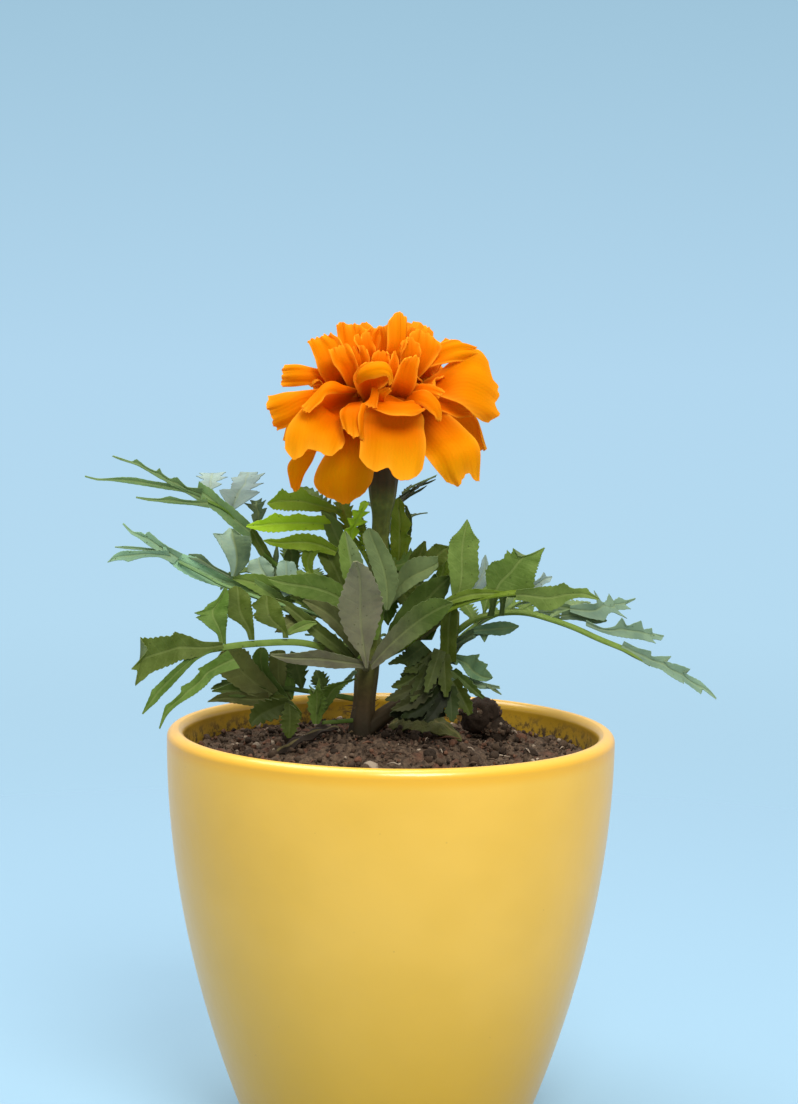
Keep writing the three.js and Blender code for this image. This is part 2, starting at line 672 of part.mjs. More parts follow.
function lyingLeaf({ rows, clear, lift }) {
  const points = rows.map(([x, y, width], i) =>
    [-1, 0, 1].map((k) => {
      const away = y + (k * width) / 2;
      const arch = lift * (1 - k * k) * Math.sin((Math.PI * i) / (rows.length - 1));
      return vec([x, away, soilHeight(x, away) + clear + arch]);
    }),
  );
  return sheet(points, rows.map(() => vec([0, 0, 1])), BLADE);
}

// ---------------------------------------------------------------- assembly

const LOOKS = {
  glaze: { color: 0xf0b93a, roughness: 0.25 },
  compost: { color: 0x3a2b22, roughness: 0.95 },
  stem: { color: 0x5d6a35, roughness: 0.6 },
  leaf: { color: 0x5f8a35, roughness: 0.6 },
  dry: { color: 0x4a4425, roughness: 0.85 },
  petal: { color: 0xff8c00, roughness: 0.55 },
};

const plant = new THREE.Group();
function piece(name, geometry, look) {
  const mesh = new THREE.Mesh(geometry, new THREE.MeshStandardMaterial({ ...LOOKS[look], metalness: 0 }));
  mesh.name = name;
  plant.add(mesh);
}

const STEM_ROOM = stems(GAP);

piece("pot", potGeometry(), "glaze");
piece("soil", soilGeometry(), "compost");
piece("stem", toGeometry(stems(0)), "stem");
piece("flower_stalk", toGeometry(stalk(0)), "stem");
piece("bloom", bloomGeometry(), "petal");
for (const [name, leaf] of Object.entries(LEAVES)) {
  piece(name, leafGeometry(leaf), "leaf");
}
for (const [i, [name, feather]] of Object.entries(FEATHERS).entries()) {
  piece(name, leafGeometry(featherLeaf(feather, i)), "leaf");
}
piece("fallen_leaf", lyingLeaf(FALLEN_LEAF), "dry");
piece("dry_leaf", lyingLeaf(DRY_LEAF), "dry");

export default plant;
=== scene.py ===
"""A potted marigold in a yellow glazed pot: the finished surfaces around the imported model."""

import math

import bmesh
import bpy
import numpy as np
from mathutils import Matrix, Vector


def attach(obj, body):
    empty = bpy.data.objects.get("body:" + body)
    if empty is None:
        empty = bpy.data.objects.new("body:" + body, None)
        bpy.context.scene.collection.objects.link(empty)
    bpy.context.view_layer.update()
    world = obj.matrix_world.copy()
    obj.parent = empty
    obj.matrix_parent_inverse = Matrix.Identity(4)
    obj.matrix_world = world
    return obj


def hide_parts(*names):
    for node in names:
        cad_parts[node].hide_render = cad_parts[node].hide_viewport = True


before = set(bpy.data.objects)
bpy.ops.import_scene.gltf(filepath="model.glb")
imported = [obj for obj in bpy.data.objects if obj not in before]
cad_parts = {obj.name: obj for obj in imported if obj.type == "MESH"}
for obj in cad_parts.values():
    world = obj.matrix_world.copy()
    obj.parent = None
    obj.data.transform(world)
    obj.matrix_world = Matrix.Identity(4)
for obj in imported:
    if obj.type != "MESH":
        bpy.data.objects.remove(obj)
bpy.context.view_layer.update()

MM = 0.001  # lengths are in millimetres, but those of the lights and the floor are in metres
BODY = "root"
TINY = 1e-9


# ---------------------------------------------------------------- numbers and curves

# Where the camera stands, how many degrees it looks down and rolls, and its lens and sensor.
EYE = {"at": (1.2, -601.4, 199.2), "down": 6.2, "roll": 0.9, "lens": 85, "sensor": 36}
PICTURE = {"width": 798, "height": 1104}
FOCAL = EYE["lens"] / EYE["sensor"] * PICTURE["height"]  # in pixels of the picture


def vec(*p):
    return np.array(p, float)


def unit(v):
    return v / np.linalg.norm(v, axis=-1, keepdims=True)


def smooth(x):
    """Rises softly from 0 to 1 as x does."""
    x = np.clip(x, 0, 1)
    return x * x * (3 - 2 * x)


def grid_of(rows, columns):
    """The share along, from 0 to 1, and across, from -1 to 1, at each point of a grid."""
    return np.meshgrid(rows, columns, indexing="ij")


def turn_angles(sides):
    """Even angles of a full turn."""
    return 2 * math.pi * np.arange(sides) / sides


def jitter(a, b):
    """A repeatable number from -1 to 1 for each pair of whole numbers."""
    s = math.sin(a * 12.9898 + b * 78.233) * 43758.5453
    return 2 * (s - math.floor(s)) - 1


def rgb(r, g, b):
    """A display colour, 0 to 255, as linear light with alpha."""
    line = [c / 255 / 12.92 if c <= 10 else ((c / 255 + 0.055) / 1.055) ** 2.4 for c in (r, g, b)]
    return (*line, 1.0)


def linear(r, g, b):
    """A display colour as linear light in three numbers, for colours stored at points."""
    return vec(*rgb(r, g, b)[:3])


def eye_axes():
    """The camera's right, up and backward directions."""
    down, roll = math.radians(EYE["down"]), math.radians(EYE["roll"])
    right, top = vec(1, 0, 0), vec(0, math.sin(down), math.cos(down))
    x = right * math.cos(roll) + top * math.sin(roll)
    y = top * math.cos(roll) - right * math.sin(roll)
    return x, y, np.cross(x, y)


def seen(px, py, depth):
    """The point of the plane y = depth that the picture shows at (px, py)."""
    right, up, back = eye_axes()
    ray = right * (px - PICTURE["width"] / 2) / FOCAL - up * (py - PICTURE["height"] / 2) / FOCAL - back
    at = vec(*EYE["at"])
    return at + ray * (depth - at[1]) / ray[1]


def with_ends(points):
    """The points with one more past each end, which a curve through them needs."""
    p = np.array(points, float)
    return np.vstack([2 * p[0] - p[1], p, 2 * p[-1] - p[-2]])


def curve(a, b, c, d, t):
    """The point at share t of a smooth curve from b to c, with a and d as its neighbours."""
    square, cube = 2 * a - 5 * b + 4 * c - d, 3 * b - a - 3 * c + d
    return 0.5 * (2 * b + (c - a) * t + square * t**2 + cube * t**3)


def knots(points, t):
    """A smooth curve that passes its points at even steps of t, from 0 to 1."""
    p = with_ends(points)
    at = np.clip(np.asarray(t, float), 0, 1) * (len(p) - 3)
    i = np.minimum(at.astype(int), len(p) - 4)
    return curve(p[i], p[i + 1], p[i + 2], p[i + 3], (at - i)[:, None])


class Path:
    """A smooth curve through points, read by its share of the length. Columns past the third go along."""

    def __init__(self, points, steps=24):
        p = with_ends(points)
        t = np.linspace(0, 1, steps, endpoint=False)[:, None]
        parts = [curve(*four, t) for four in zip(p, p[1:], p[2:], p[3:])]
        self.dense = np.vstack([*parts, p[-2:-1]])
        gaps = np.linalg.norm(np.diff(self.dense[:, :3], axis=0), axis=1)
        reach = np.concatenate([[0], np.cumsum(gaps)])
        self.length = reach[-1]
        self.share = reach / reach[-1]

    def at(self, s):
        return np.stack([np.interp(s, self.share, column) for column in self.dense.T], -1)

    def along(self, s, step=0.01):
        """The direction at share s, taken between the points a step before and after."""
        before, after = np.clip(np.asarray(s) - step, 0, 1), np.clip(np.asarray(s) + step, 0, 1)
        return unit((self.at(after) - self.at(before))[..., :3])


# ---------------------------------------------------------------- meshes


class Shape:
    """Points, faces and named values at the points, gathered into one mesh."""

    def __init__(self):
        self.points, self.quads, self.tris, self.values, self.count = [], [], [], {}, 0

    def add(self, points, quads=(), tris=(), **values):
        """Adds points and faces. A value is one for all, one for each point, or a function of the points."""
        points = np.asarray(points, float).reshape(-1, 3)
        for faces, kept, corners in ((quads, self.quads, 4), (tris, self.tris, 3)):
            if len(faces):
                kept.append(np.asarray(faces).reshape(-1, corners) + self.count)
        for name, value in values.items():
            value = np.asarray(value(points) if callable(value) else value, float)
            width = 3 if name == "tint" else 1
            rows = np.broadcast_to(value.reshape(-1, width), (len(points), width))
            self.values.setdefault(name, []).append((self.count, rows))
        self.points.append(points)
        self.count += len(points)

    def mark(self, name, rule):
        """Gives each point added so far the value that the rule finds for its place."""
        self.values[name] = [(0, rule(np.vstack(self.points))[:, None])]

    def mesh(self, name):
        quads = np.vstack(self.quads) if self.quads else np.zeros((0, 4), int)
        tris = np.vstack(self.tris) if self.tris else np.zeros((0, 3), int)
        mesh = bpy.data.meshes.new(name)
        mesh.vertices.add(self.count)
        mesh.vertices.foreach_set("co", (np.vstack(self.points) * MM).ravel())
        corners = np.concatenate([quads.ravel(), tris.ravel()])
        mesh.loops.add(len(corners))
        mesh.loops.foreach_set("vertex_index", corners.astype(np.int32))
        starts = np.concatenate([4 * np.arange(len(quads)), quads.size + 3 * np.arange(len(tris))])
        mesh.polygons.add(len(starts))
        mesh.polygons.foreach_set("loop_start", starts.astype(np.int32))
        mesh.update(calc_edges=True)
        mesh.validate()
        for key, parts in self.values.items():
            self.write(mesh, key, parts)
        return mesh

    def write(self, mesh, key, parts):
        """Writes a named value to the mesh. It is 0 where no part gives it."""
        kind, field, width = ("FLOAT_COLOR", "color", 4) if key == "tint" else ("FLOAT", "value", 1)
        data = np.zeros((self.count, width))
        if key == "tint":
            data[:, 3] = 1
        for start, part in parts:
            data[start : start + len(part), : part.shape[1]] = part
        mesh.attributes.new(key, kind, "POINT").data.foreach_set(field, data.ravel())


def piece(name, node, shape, material, crease=50):
    """Makes a mesh object that stands for the CAD node and rides with it."""
    mesh = shape.mesh(name)
    mesh.shade_smooth()
    mesh.set_sharp_from_angle(angle=math.radians(crease))
    mesh.materials.append(material)
    thing = bpy.data.objects.new(name, mesh)
    bpy.context.collection.objects.link(thing)
    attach(thing, BODY)
    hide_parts(node)


def grid_quads(rows, columns, wrap=False):
    """The quads of a grid of points. With wrap its last column joins its first."""
    i, j = np.meshgrid(np.arange(rows - 1), np.arange(columns if wrap else columns - 1), indexing="ij")
    here, there = i * columns + j, i * columns + (j + 1) % columns
    return np.stack([here, there, there + columns, here + columns], -1).reshape(-1, 4)


def sheet(shape, grid, thickness, up, **values):
    """Adds a thin closed sheet round a grid of points. up says which side is its upper one."""
    rows, columns = grid.shape[:2]
    n = rows * columns
    normal = np.cross(np.gradient(grid, axis=0), np.gradient(grid, axis=1))
    length = np.linalg.norm(normal, axis=-1, keepdims=True)
    normal = np.where(length > TINY, normal / np.maximum(length, TINY), up)
    turn_over = (normal.reshape(-1, 3) @ up).mean() < 0
    if turn_over:
        normal = -normal
    half = np.broadcast_to(np.asarray(thickness, float) / 2, (rows, columns))[..., None]
    index = np.arange(n).reshape(rows, columns)
    edge = np.concatenate([index[0], index[1:, -1], index[-1, -2::-1], index[-2:0:-1, 0]])
    after = np.roll(edge, -1)
    quads = grid_quads(rows, columns)
    faces = np.vstack([quads, quads[:, ::-1] + n, np.stack([after, edge, edge + n, after + n], -1)])
    if not turn_over:
        faces = faces[:, ::-1]
    points = np.concatenate([(grid + half * normal).reshape(-1, 3), (grid - half * normal).reshape(-1, 3)])
    both = {key: np.concatenate([np.asarray(v, float).reshape(n, -1)] * 2) for key, v in values.items()}
    shape.add(points, faces, under=np.repeat([0.0, 1.0], n), **both)


def closed_rings(shape, rings, first, last, inside_out=False, **values):
    """Adds a closed body of rings, each a row of points, between its two end points.

    inside_out is for rings that run round the other way.
    """
    rows, sides = rings.shape[:2]
    n = rows * sides
    k = np.arange(sides)
    j = (k + 1) % sides
    start = np.stack([j, k, np.full(sides, n)], -1)
    end = np.stack([n - sides + k, n - sides + j, np.full(sides, n + 1)], -1)
    quads, tris = grid_quads(rows, sides, wrap=True), np.vstack([start, end])
    if inside_out:
        quads, tris = quads[:, ::-1], tris[:, ::-1]
    shape.add(np.vstack([rings.reshape(-1, 3), first, last]), quads, tris, **values)


def tube(shape, path, radius, sides, steps, flute=0.0, flutes=6, **values):
    """Adds a closed tube along a path.

    radius is a function of the share of the length, and flute is the ribs' depth as a share of the radius.
    """
    s = np.linspace(0, 1, steps + 1)
    centre, along = path.at(s)[:, :3], path.along(s)
    right = unit(np.cross(vec(0, 1, 0.02), along))
    front = np.cross(along, right)
    a = turn_angles(sides)
    r = np.asarray(radius(s))[:, None] * (1 + flute * np.cos(flutes * a))
    out = np.cos(a)[:, None] * right[:, None] + np.sin(a)[:, None] * front[:, None]
    closed_rings(shape, centre[:, None] + r[..., None] * out, centre[0], centre[-1], **values)


def lathe(shape, profile, sides, **values):
    """Adds a closed body turned from a profile of (radius, height) that starts and ends on the axis."""
    r, z = np.array(profile[1:-1], float).T
    a = turn_angles(sides)
    rings = np.stack([r[:, None] * np.cos(a), r[:, None] * np.sin(a), np.repeat(z[:, None], sides, 1)], -1)
    full = {key: np.concatenate([np.repeat(v[1:-1], sides), [v[0], v[-1]]]) for key, v in values.items()}
    closed_rings(shape, rings, (0, 0, profile[0][1]), (0, 0, profile[-1][1]), **full)


def ball(detail):
    """A unit sphere of triangles."""
    bm = bmesh.new()
    bmesh.ops.create_icosphere(bm, subdivisions=detail, radius=1)
    points = np.array([v.co[:] for v in bm.verts])
    tris = np.array([[v.index for v in f.verts] for f in bm.faces])
    bm.free()
    return points, tris


def lattice(points, size, seed):
    """Value noise from -1 to 1 on a lattice of this size, in two or three dimensions."""
    p = np.asarray(points, float) / size
    cell = np.floor(p).astype(np.int64)
    part = smooth(p - cell)
    dims = p.shape[-1]
    total = 0
    for corner in range(2**dims):
        bits = np.array([(corner >> k) & 1 for k in range(dims)])
        keys = ((cell + bits) * np.array([73856093, 19349663, 83492791][:dims])).sum(-1) + seed * 2654435761
        keys = (keys ^ (keys >> 13)) * 1274126177 & 0x7FFFFFFF
        weight = np.where(bits, part, 1 - part).prod(-1)
        total = total + weight * ((keys ^ (keys >> 16)) % 10007 / 5003.0 - 1)
    return total


# ---------------------------------------------------------------- materials


class Look:
    """A material with a Principled shader and short ways to add the nodes that feed it."""

    def __init__(self, name, **sockets):
        self.material = bpy.data.materials.new(name)
        self.material.use_nodes = True
        self.tree = self.material.node_tree
        self.shader = self.tree.nodes["Principled BSDF"]
        self.output = self.tree.nodes["Material Output"]
        for key, value in sockets.items():
            self.shader.inputs[key.replace("_", " ")].default_value = value

    def node(self, kind, inputs=None, **settings):
        made = self.tree.nodes.new(kind)
        for key, value in settings.items():
            setattr(made, key, value)
        for key, value in (inputs or {}).items():
            self.put(made.inputs[key], value)
        return made

    def put(self, socket, value):
        if isinstance(value, bpy.types.NodeSocket):
            self.tree.links.new(value, socket)
        else:
            socket.default_value = value

    def value(self, name):
        return self.node("ShaderNodeAttribute", attribute_name=name).outputs["Fac"]

    def colour(self, name):
        return self.node("ShaderNodeAttribute", attribute_name=name).outputs["Color"]

    def place(self):
        return self.node("ShaderNodeTexCoord").outputs["Object"]

    def noise(self, size, detail=3.0, rough=0.55):
        """Soft noise from 0 to 1 with lumps of about this size in millimetres."""
        inputs = {"Vector": self.place(), "Scale": 1 / (size * MM), "Detail": detail, "Roughness": rough}
        return self.node("ShaderNodeTexNoise", inputs).outputs["Fac"]

    def cells(self, size):
        """The distance to the nearest of the points that are scattered about this far apart."""
        inputs = {"Vector": self.place(), "Scale": 1 / (size * MM)}
        return self.node("ShaderNodeTexVoronoi", inputs, feature="F1").outputs["Distance"]

    def math(self, operation, a, b=0.0):
        return self.node("ShaderNodeMath", {0: a, 1: b, 2: 0.0}, operation=operation).outputs[0]

    def times(self, a, b):
        return self.math("MULTIPLY", a, b)

    def plus(self, a, b):
        return self.math("ADD", a, b)

    def span(self, x, low, high, to_low=0.0, to_high=1.0):
        """Goes softly from to_low to to_high while x goes from low to high."""
        inputs = {"Value": x, "From Min": low, "From Max": high, "To Min": to_low, "To Max": to_high}
        made = self.node("ShaderNodeMapRange", inputs, clamp=True, interpolation_type="SMOOTHSTEP")
        return made.outputs["Result"]

    def mix(self, share, a, b):
        """Colour a, with this share of colour b."""
        return self.node("ShaderNodeMix", {0: share, 6: a, 7: b}, data_type="RGBA").outputs[2]

    def bump(self, height, depth):
        """depth is how high the bump stands, in millimetres."""
        inputs = {"Height": height, "Distance": depth * MM, "Strength": 1.0}
        return self.node("ShaderNodeBump", inputs).outputs["Normal"]

    def feed(self, socket, value):
        self.put(self.shader.inputs[socket], value)

    def blend_in(self, share, other):
        """Gives this share of the surface to another shader."""
        both = self.node("ShaderNodeMixShader", {0: share, 1: self.shader.outputs[0], 2: other.outputs[0]})
        self.put(self.output.inputs["Surface"], both.outputs[0])

    def let_light_through(self, share, colour, normal):
        """Passes a share of the light through the thin sheet."""
        self.blend_in(share, self.node("ShaderNodeBsdfTranslucent", {"Color": colour, "Normal": normal}))


GLAZE = {
    "body": rgb(220, 176, 62),
    "cloud": rgb(215, 171, 54),
    # foot is painted shade: the glaze is painted darker and deeper yellow towards the bottom of the pot.
    "foot": rgb(203, 158, 26),
    "rim": rgb(216, 162, 26),
    "lip": rgb(240, 214, 140),
    # inside is painted shade: the inside wall is painted darker than the outside.
    "inside": rgb(170, 137, 30),
    "soiled": rgb(62, 48, 36),
    "pinhole": rgb(150, 104, 40),
}


def glaze_look():
    look = Look("yellow_glaze", Roughness=0.33, Coat_Weight=0.35, Coat_Roughness=0.1, Specular_IOR_Level=0.5)
    height, inside = look.value("height"), look.value("inside")
    cloud = look.span(look.noise(26, 2), 0.3, 0.7)
    base = look.mix(cloud, GLAZE["body"], GLAZE["cloud"])
    # Painted shade: darker and deeper yellow towards the foot.
    base = look.mix(look.span(height, 0, 60, 0.95, 0.0), base, GLAZE["foot"])
    base = look.mix(look.span(height, 87.5, 90, 0.0, 0.8), base, GLAZE["rim"])
    base = look.mix(look.times(look.value("lip"), 0.12), base, GLAZE["lip"])
    # Painted shade on the inside wall of the pot.
    base = look.mix(look.times(inside, 0.7), base, GLAZE["inside"])
    soiled = look.times(look.value("grime"), look.span(look.noise(2.2, 6, 0.7), 0.47, 0.6))
    base = look.mix(soiled, base, GLAZE["soiled"])
    pinhole = look.math("LESS_THAN", look.cells(7), 0.03)
    base = look.mix(look.times(pinhole, 0.25), base, GLAZE["pinhole"])
    look.feed("Base Color", base)
    ripple = look.plus(look.times(look.noise(9, 2), 0.5), look.times(look.noise(1.4, 2), 0.06))
    look.feed("Normal", look.bump(ripple, 0.35))
    look.feed("Roughness", look.span(soiled, 0, 1, 0.33, 0.85))
    return look.material


def compost_look():
    look = Look("compost", Roughness=0.93, Specular_IOR_Level=0.25)
    dark, light, rusty = rgb(54, 43, 34), rgb(96, 79, 64), rgb(104, 62, 46)
    base = look.mix(look.span(look.noise(1.1, 5, 0.7), 0.35, 0.65), dark, light)
    base = look.mix(look.times(look.span(look.noise(6, 2), 0.5, 0.75), 0.5), base, rusty)
    base = look.mix(look.value("crumb"), base, look.colour("tint"))
    look.feed("Base Color", base)
    grains = look.plus(look.noise(0.9, 6, 0.7), look.times(look.cells(1.6), 0.5))
    look.feed("Normal", look.bump(grains, 0.5))
    return look.material


def stem_look():
    look = Look("stem", Roughness=0.6, Specular_IOR_Level=0.2)
    grain = look.span(look.noise(1.2, 3), 0.3, 0.7)
    streak = look.mix(0.35, look.colour("tint"), rgb(40, 40, 22))
    look.feed("Base Color", look.mix(grain, look.colour("tint"), streak))
    look.feed("Normal", look.bump(look.noise(0.7, 4), 0.1))
    return look.material


LEAF = {
    "underside": rgb(132, 146, 112),
    "pale": rgb(168, 186, 110),
    "deep": rgb(44, 56, 18),
    "rib": rgb(158, 170, 104),
    "gland": rgb(42, 48, 22),
    "glow": rgb(150, 190, 20),
}


def leaf_look():
    """Mottled green with paler ribs, and dark gland dots as marigold leaves have."""
    look = Look("leaf", Roughness=0.58, Specular_IOR_Level=0.16)
    tint, under = look.colour("tint"), look.value("under")
    side = look.mix(look.times(under, 0.55), tint, LEAF["underside"])
    light = look.span(tint, 0.0, 0.14)  # pale marks fade on dark leaves
    pale = look.mix(look.times(light, 0.13), side, LEAF["pale"])
    deep = look.mix(0.16, side, LEAF["deep"])
    mottled = look.mix(look.span(look.noise(3.2, 4, 0.6), 0.32, 0.7), deep, pale)
    middle = look.span(look.math("ABSOLUTE", look.value("reach")), 0.14, 0.42, 1.0, 0.0)
    ribs = look.span(look.math("PINGPONG", look.value("vein"), 0.5), 0.03, 0.12, 1.0, 0.0)
    lines = look.times(look.math("MAXIMUM", middle, look.times(ribs, 0.22)), light)
    base = look.mix(look.times(lines, 0.21), mottled, LEAF["rib"])
    glands = look.math("LESS_THAN", look.cells(1.9), 0.1)
    base = look.mix(look.times(glands, 0.55), base, LEAF["gland"])
    look.feed("Base Color", base)
    normal = look.bump(look.plus(look.times(lines, -0.6), look.times(look.noise(0.8, 3), 0.5)), 0.12)
    look.feed("Normal", normal)
    look.let_light_through(0.32, look.mix(0.4, tint, LEAF["glow"]), normal)
    return look.material


ORANGE = {
    # inner is partly the petals' own deeper orange near their base and partly painted shade towards the
    # heart.
    "inner": rgb(221, 99, 0),
    "outer": rgb(227, 152, 0),
    # low is painted light: the lowest petals are painted yellower.
    "low": rgb(226, 164, 0),
    "patch": rgb(230, 130, 0),
    "edge": rgb(255, 186, 44),
    "stripe": rgb(206, 100, 0),
    # depth is painted shade: the near dark red of the hollows round the heart.
    "depth": rgb(124, 36, 0),
    "glow": rgb(250, 150, 0),
}


def petal_look():
    """Orange that is yellower at its edges, redder towards the heart with painted shade and its own deeper
    orange there, near dark red painted shade in the hollows round the heart, and painted light that makes the
    lowest petals yellower.
    """
    look = Look("petal", Roughness=0.65, Specular_IOR_Level=0.03)
    away = look.value("away")
    # Redder towards the heart: partly the petals' own colour, partly painted shade.
    base = look.mix(look.span(away, 13, 26), ORANGE["inner"], ORANGE["outer"])
    # Painted light on the lowest petals.
    base = look.mix(look.value("low"), base, ORANGE["low"])
    base = look.mix(look.span(look.noise(6, 3), 0.35, 0.7, 0.0, 0.3), base, ORANGE["patch"])
    base = look.mix(look.times(look.value("edge"), 0.75), base, ORANGE["edge"])
    stripe = look.math("PINGPONG", look.plus(look.times(look.value("reach"), 1.1), look.noise(7, 2)), 0.5)
    base = look.mix(look.span(stripe, 0.0, 0.15, 0.05, 0.0), base, ORANGE["stripe"])
    # Painted shade: the hollows round the heart are painted near dark red.
    base = look.mix(look.span(away, 9, 17, 0.95, 0.0), base, ORANGE["depth"])
    look.feed("Base Color", base)
    relief = look.plus(look.span(stripe, 0.0, 0.5, 0.0, 0.35), look.times(look.noise(1.8, 3), 0.6))
    normal = look.bump(relief, 0.08)
    look.feed("Normal", normal)
    look.let_light_through(0.48, look.mix(0.5, base, ORANGE["glow"]), normal)
    return look.material


def dry_look():
    look = Look("dry_leaf", Roughness=0.8, Specular_IOR_Level=0.25)
    tint = look.colour("tint")
    withered, midrib = rgb(36, 28, 18), rgb(122, 112, 70)
    base = look.mix(look.span(look.noise(2, 4), 0.3, 0.7), tint, look.mix(0.4, tint, withered))
    middle = look.span(look.math("ABSOLUTE", look.value("reach")), 0.15, 0.4, 1.0, 0.0)
    base = look.mix(look.times(middle, 0.5), base, midrib)
    look.feed("Base Color", base)
    look.feed("Normal", look.bump(look.noise(0.8, 4), 0.25))
    return look.material


# ---------------------------------------------------------------- pot

POT = {
    "height": 92.5,
    "rim": 52.2,
    "base": 33.5,
    "wall": 4,
    "floor": 5,
    "swell": 1.95,  # how soon the sides turn upright
    "foot": 1.2,  # the rounding under the pot
    "foot_rows": 6,
    "outside_rows": 44,
    "lip_rows": 22,
    "lip_rows_inside": 9,
    "inside_rows": 30,
    "sides": 224,
    "middle": 6,  # the radius of the first ring round the middle of the underside
}


def pot_radius(z):
    """The pot's outer radius at this height."""
    shoulder = POT["height"] - POT["wall"] / 2
    down = np.maximum(0, 1 - np.asarray(z, float) / shoulder)
    return POT["rim"] - (POT["rim"] - POT["base"]) * down ** POT["swell"]


def arc(centre, radius, start, end, steps):
    """Points of an arc in the profile, from one angle in degrees to another."""
    angles = np.radians(np.linspace(start, end, steps))
    return [(centre[0] + radius * math.cos(a), centre[1] + radius * math.sin(a)) for a in angles]


def make_pot():
    height, wall, floor, foot = POT["height"], POT["wall"], POT["floor"], POT["foot"]
    lip = wall / 2
    under = [(r, 0) for r in np.linspace(POT["middle"], pot_radius(0) - foot, POT["foot_rows"])]
    heel = arc((pot_radius(foot) - foot, foot), foot, -75, 0, POT["foot_rows"])
    outside = [(pot_radius(z), z) for z in np.linspace(3, height - lip - 1, POT["outside_rows"])]
    rolled = arc((POT["rim"] - lip, height - lip), lip, -10, 190, POT["lip_rows"])
    outer = [(0, 0), *under, *heel, *outside, *rolled]
    down = np.linspace(height - lip - 1.5, floor + 3, POT["inside_rows"])
    inside = [(pot_radius(z) - wall, z) for z in down]
    profile = [*outer, *inside, (pot_radius(floor) - wall - 2, floor), (0, floor)]
    z = np.array([p[1] for p in profile])
    inner = 1.0 * (np.arange(len(profile)) >= len(outer) - POT["lip_rows_inside"])
    top = smooth((z - (height - 1.6)) / 1.4)
    grime = smooth((height - 1.5 - z) / 4) * inner
    shape = Shape()
    lathe(shape, profile, POT["sides"], height=z, lip=top, inside=inner, grime=grime)
    piece("glazed_pot", "pot", shape, glaze_look(), crease=70)


# ---------------------------------------------------------------- compost

SOIL = {
    "level": 85.8,
    "mound": (-1, 3),
    "radius": 26,
    "rise": 4.6,
    "grain": 0.4,
    "gap": 0.45,  # to the wall and, nearly, to the floor
    "bumps": ((2.6, 0.75), (1.2, 0.45), (7, 0.5)),  # sizes and heights
    "crumbs": 3600,
    "crumbs_on_a_clod": 150,
    "roots": 70,
    "rows": 78,
    "sides": 240,
}
CRUMB = {
    "usual": 0.35,
    "largest": 1.7,
    "on_a_clod": (0.3, 0.85),
    "detailed_from": 0.75,  # larger crumbs have more faces
    "stretch": (0.55, 1.15),
    "rough": 0.3,
    "light": (0.75, 1.15),
}
ROOT = {"within": 44, "half": (1, 3), "width": (0.13, 0.32), "over": 0.9, "bend": 0.3}
# Clods as place and radius. The first two are the crumbly one behind the stem.
CLODS = [
    ((21.5, 26, 91.2), 5.2),
    ((25.5, 24, 87.5), 3.6),
    ((9, -12, 88.3), 1.8),
    ((-24, 10, 87.9), 1.9),
    ((33, 3, 86.1), 1.8),
    ((-33, -4, 86.2), 1.6),
    ((3, 28, 87.5), 2.4),
    ((-17, 27, 86.5), 2),
]
CLOD_FORM = vec(1, 0.85, 0.8)
EARTHS = [
    linear(54, 43, 34),
    linear(73, 59, 47),
    linear(95, 79, 65),
    linear(100, 70, 54),
    linear(62, 47, 36),
    linear(156, 141, 124),
]
EARTH_SHARES = [0.27, 0.25, 0.18, 0.12, 0.14, 0.04]


def bed_radius(z):
    """How far the compost reaches at this height."""
    return pot_radius(z) - POT["wall"] - SOIL["gap"]


def hill(x, y):
    """The compost's height: a low mound round the stem, crumbled by waves."""
    away = np.minimum(1, np.hypot(x - SOIL["mound"][0], y - SOIL["mound"][1]) / SOIL["radius"])
    waves = np.sin(x * 0.9 + 1) * np.cos(y * 1.1) + 0.7 * np.sin(x * 1.7 - y * 1.3)
    return SOIL["level"] + SOIL["rise"] * (1 - away**3) ** 2 + SOIL["grain"] * waves


def turned(rng):
    """A random rotation."""
    m, _ = np.linalg.qr(rng.normal(size=(3, 3)))
    return m if np.linalg.det(m) > 0 else -m


def random_place(rng, reach):
    """A place on the compost, evenly spread over a disc."""
    a, r = rng.uniform(0, 2 * math.pi), reach * math.sqrt(rng.uniform(0, 1))
    return r * math.cos(a), r * math.sin(a)


def add_bed(shape):
    """Adds the body of the compost, from the pot's floor to its bumpy top."""
    bottom, level, edge = POT["floor"] + 0.3, SOIL["level"], bed_radius(SOIL["level"])
    walls = [(bed_radius(z), z) for z in np.linspace(bottom + 2, level - 1.2, 12)]
    top = [(r, level) for r in edge * np.linspace(1, 0, SOIL["rows"])]
    lathe(shape, [(0, bottom), (bed_radius(bottom) - 1.5, bottom), *walls, *top], SOIL["sides"])
    points = shape.points[0]
    up = points[:, 2] > level - 0.5
    x, y = points[up, 0], points[up, 1]
    flat = np.stack([x, y], -1)
    bumps = sum(high * lattice(flat, size, i + 1) for i, (size, high) in enumerate(SOIL["bumps"]))
    inward = smooth((edge - np.hypot(x, y)) / 2.5)
    points[up, 2] = hill(x, y) + bumps * (0.35 + 0.65 * inward)


def add_crumb(shape, rng, at, size, form, shade=1.0):
    """Adds a rough lump, made from a ball, turned and coloured at random."""
    points, tris = form
    stretch = rng.uniform(*CRUMB["stretch"], 3)
    rough = CRUMB["rough"] * rng.uniform(-1, 1, (len(points), 1)) * (0.6 if len(points) > 20 else 1)
    tint = EARTHS[rng.choice(len(EARTHS), p=EARTH_SHARES)] * rng.uniform(*CRUMB["light"]) * shade
    points = points * (1 + rough) * stretch @ turned(rng).T * size + at
    shape.add(points, tris=tris, crumb=1.0, tint=tint)


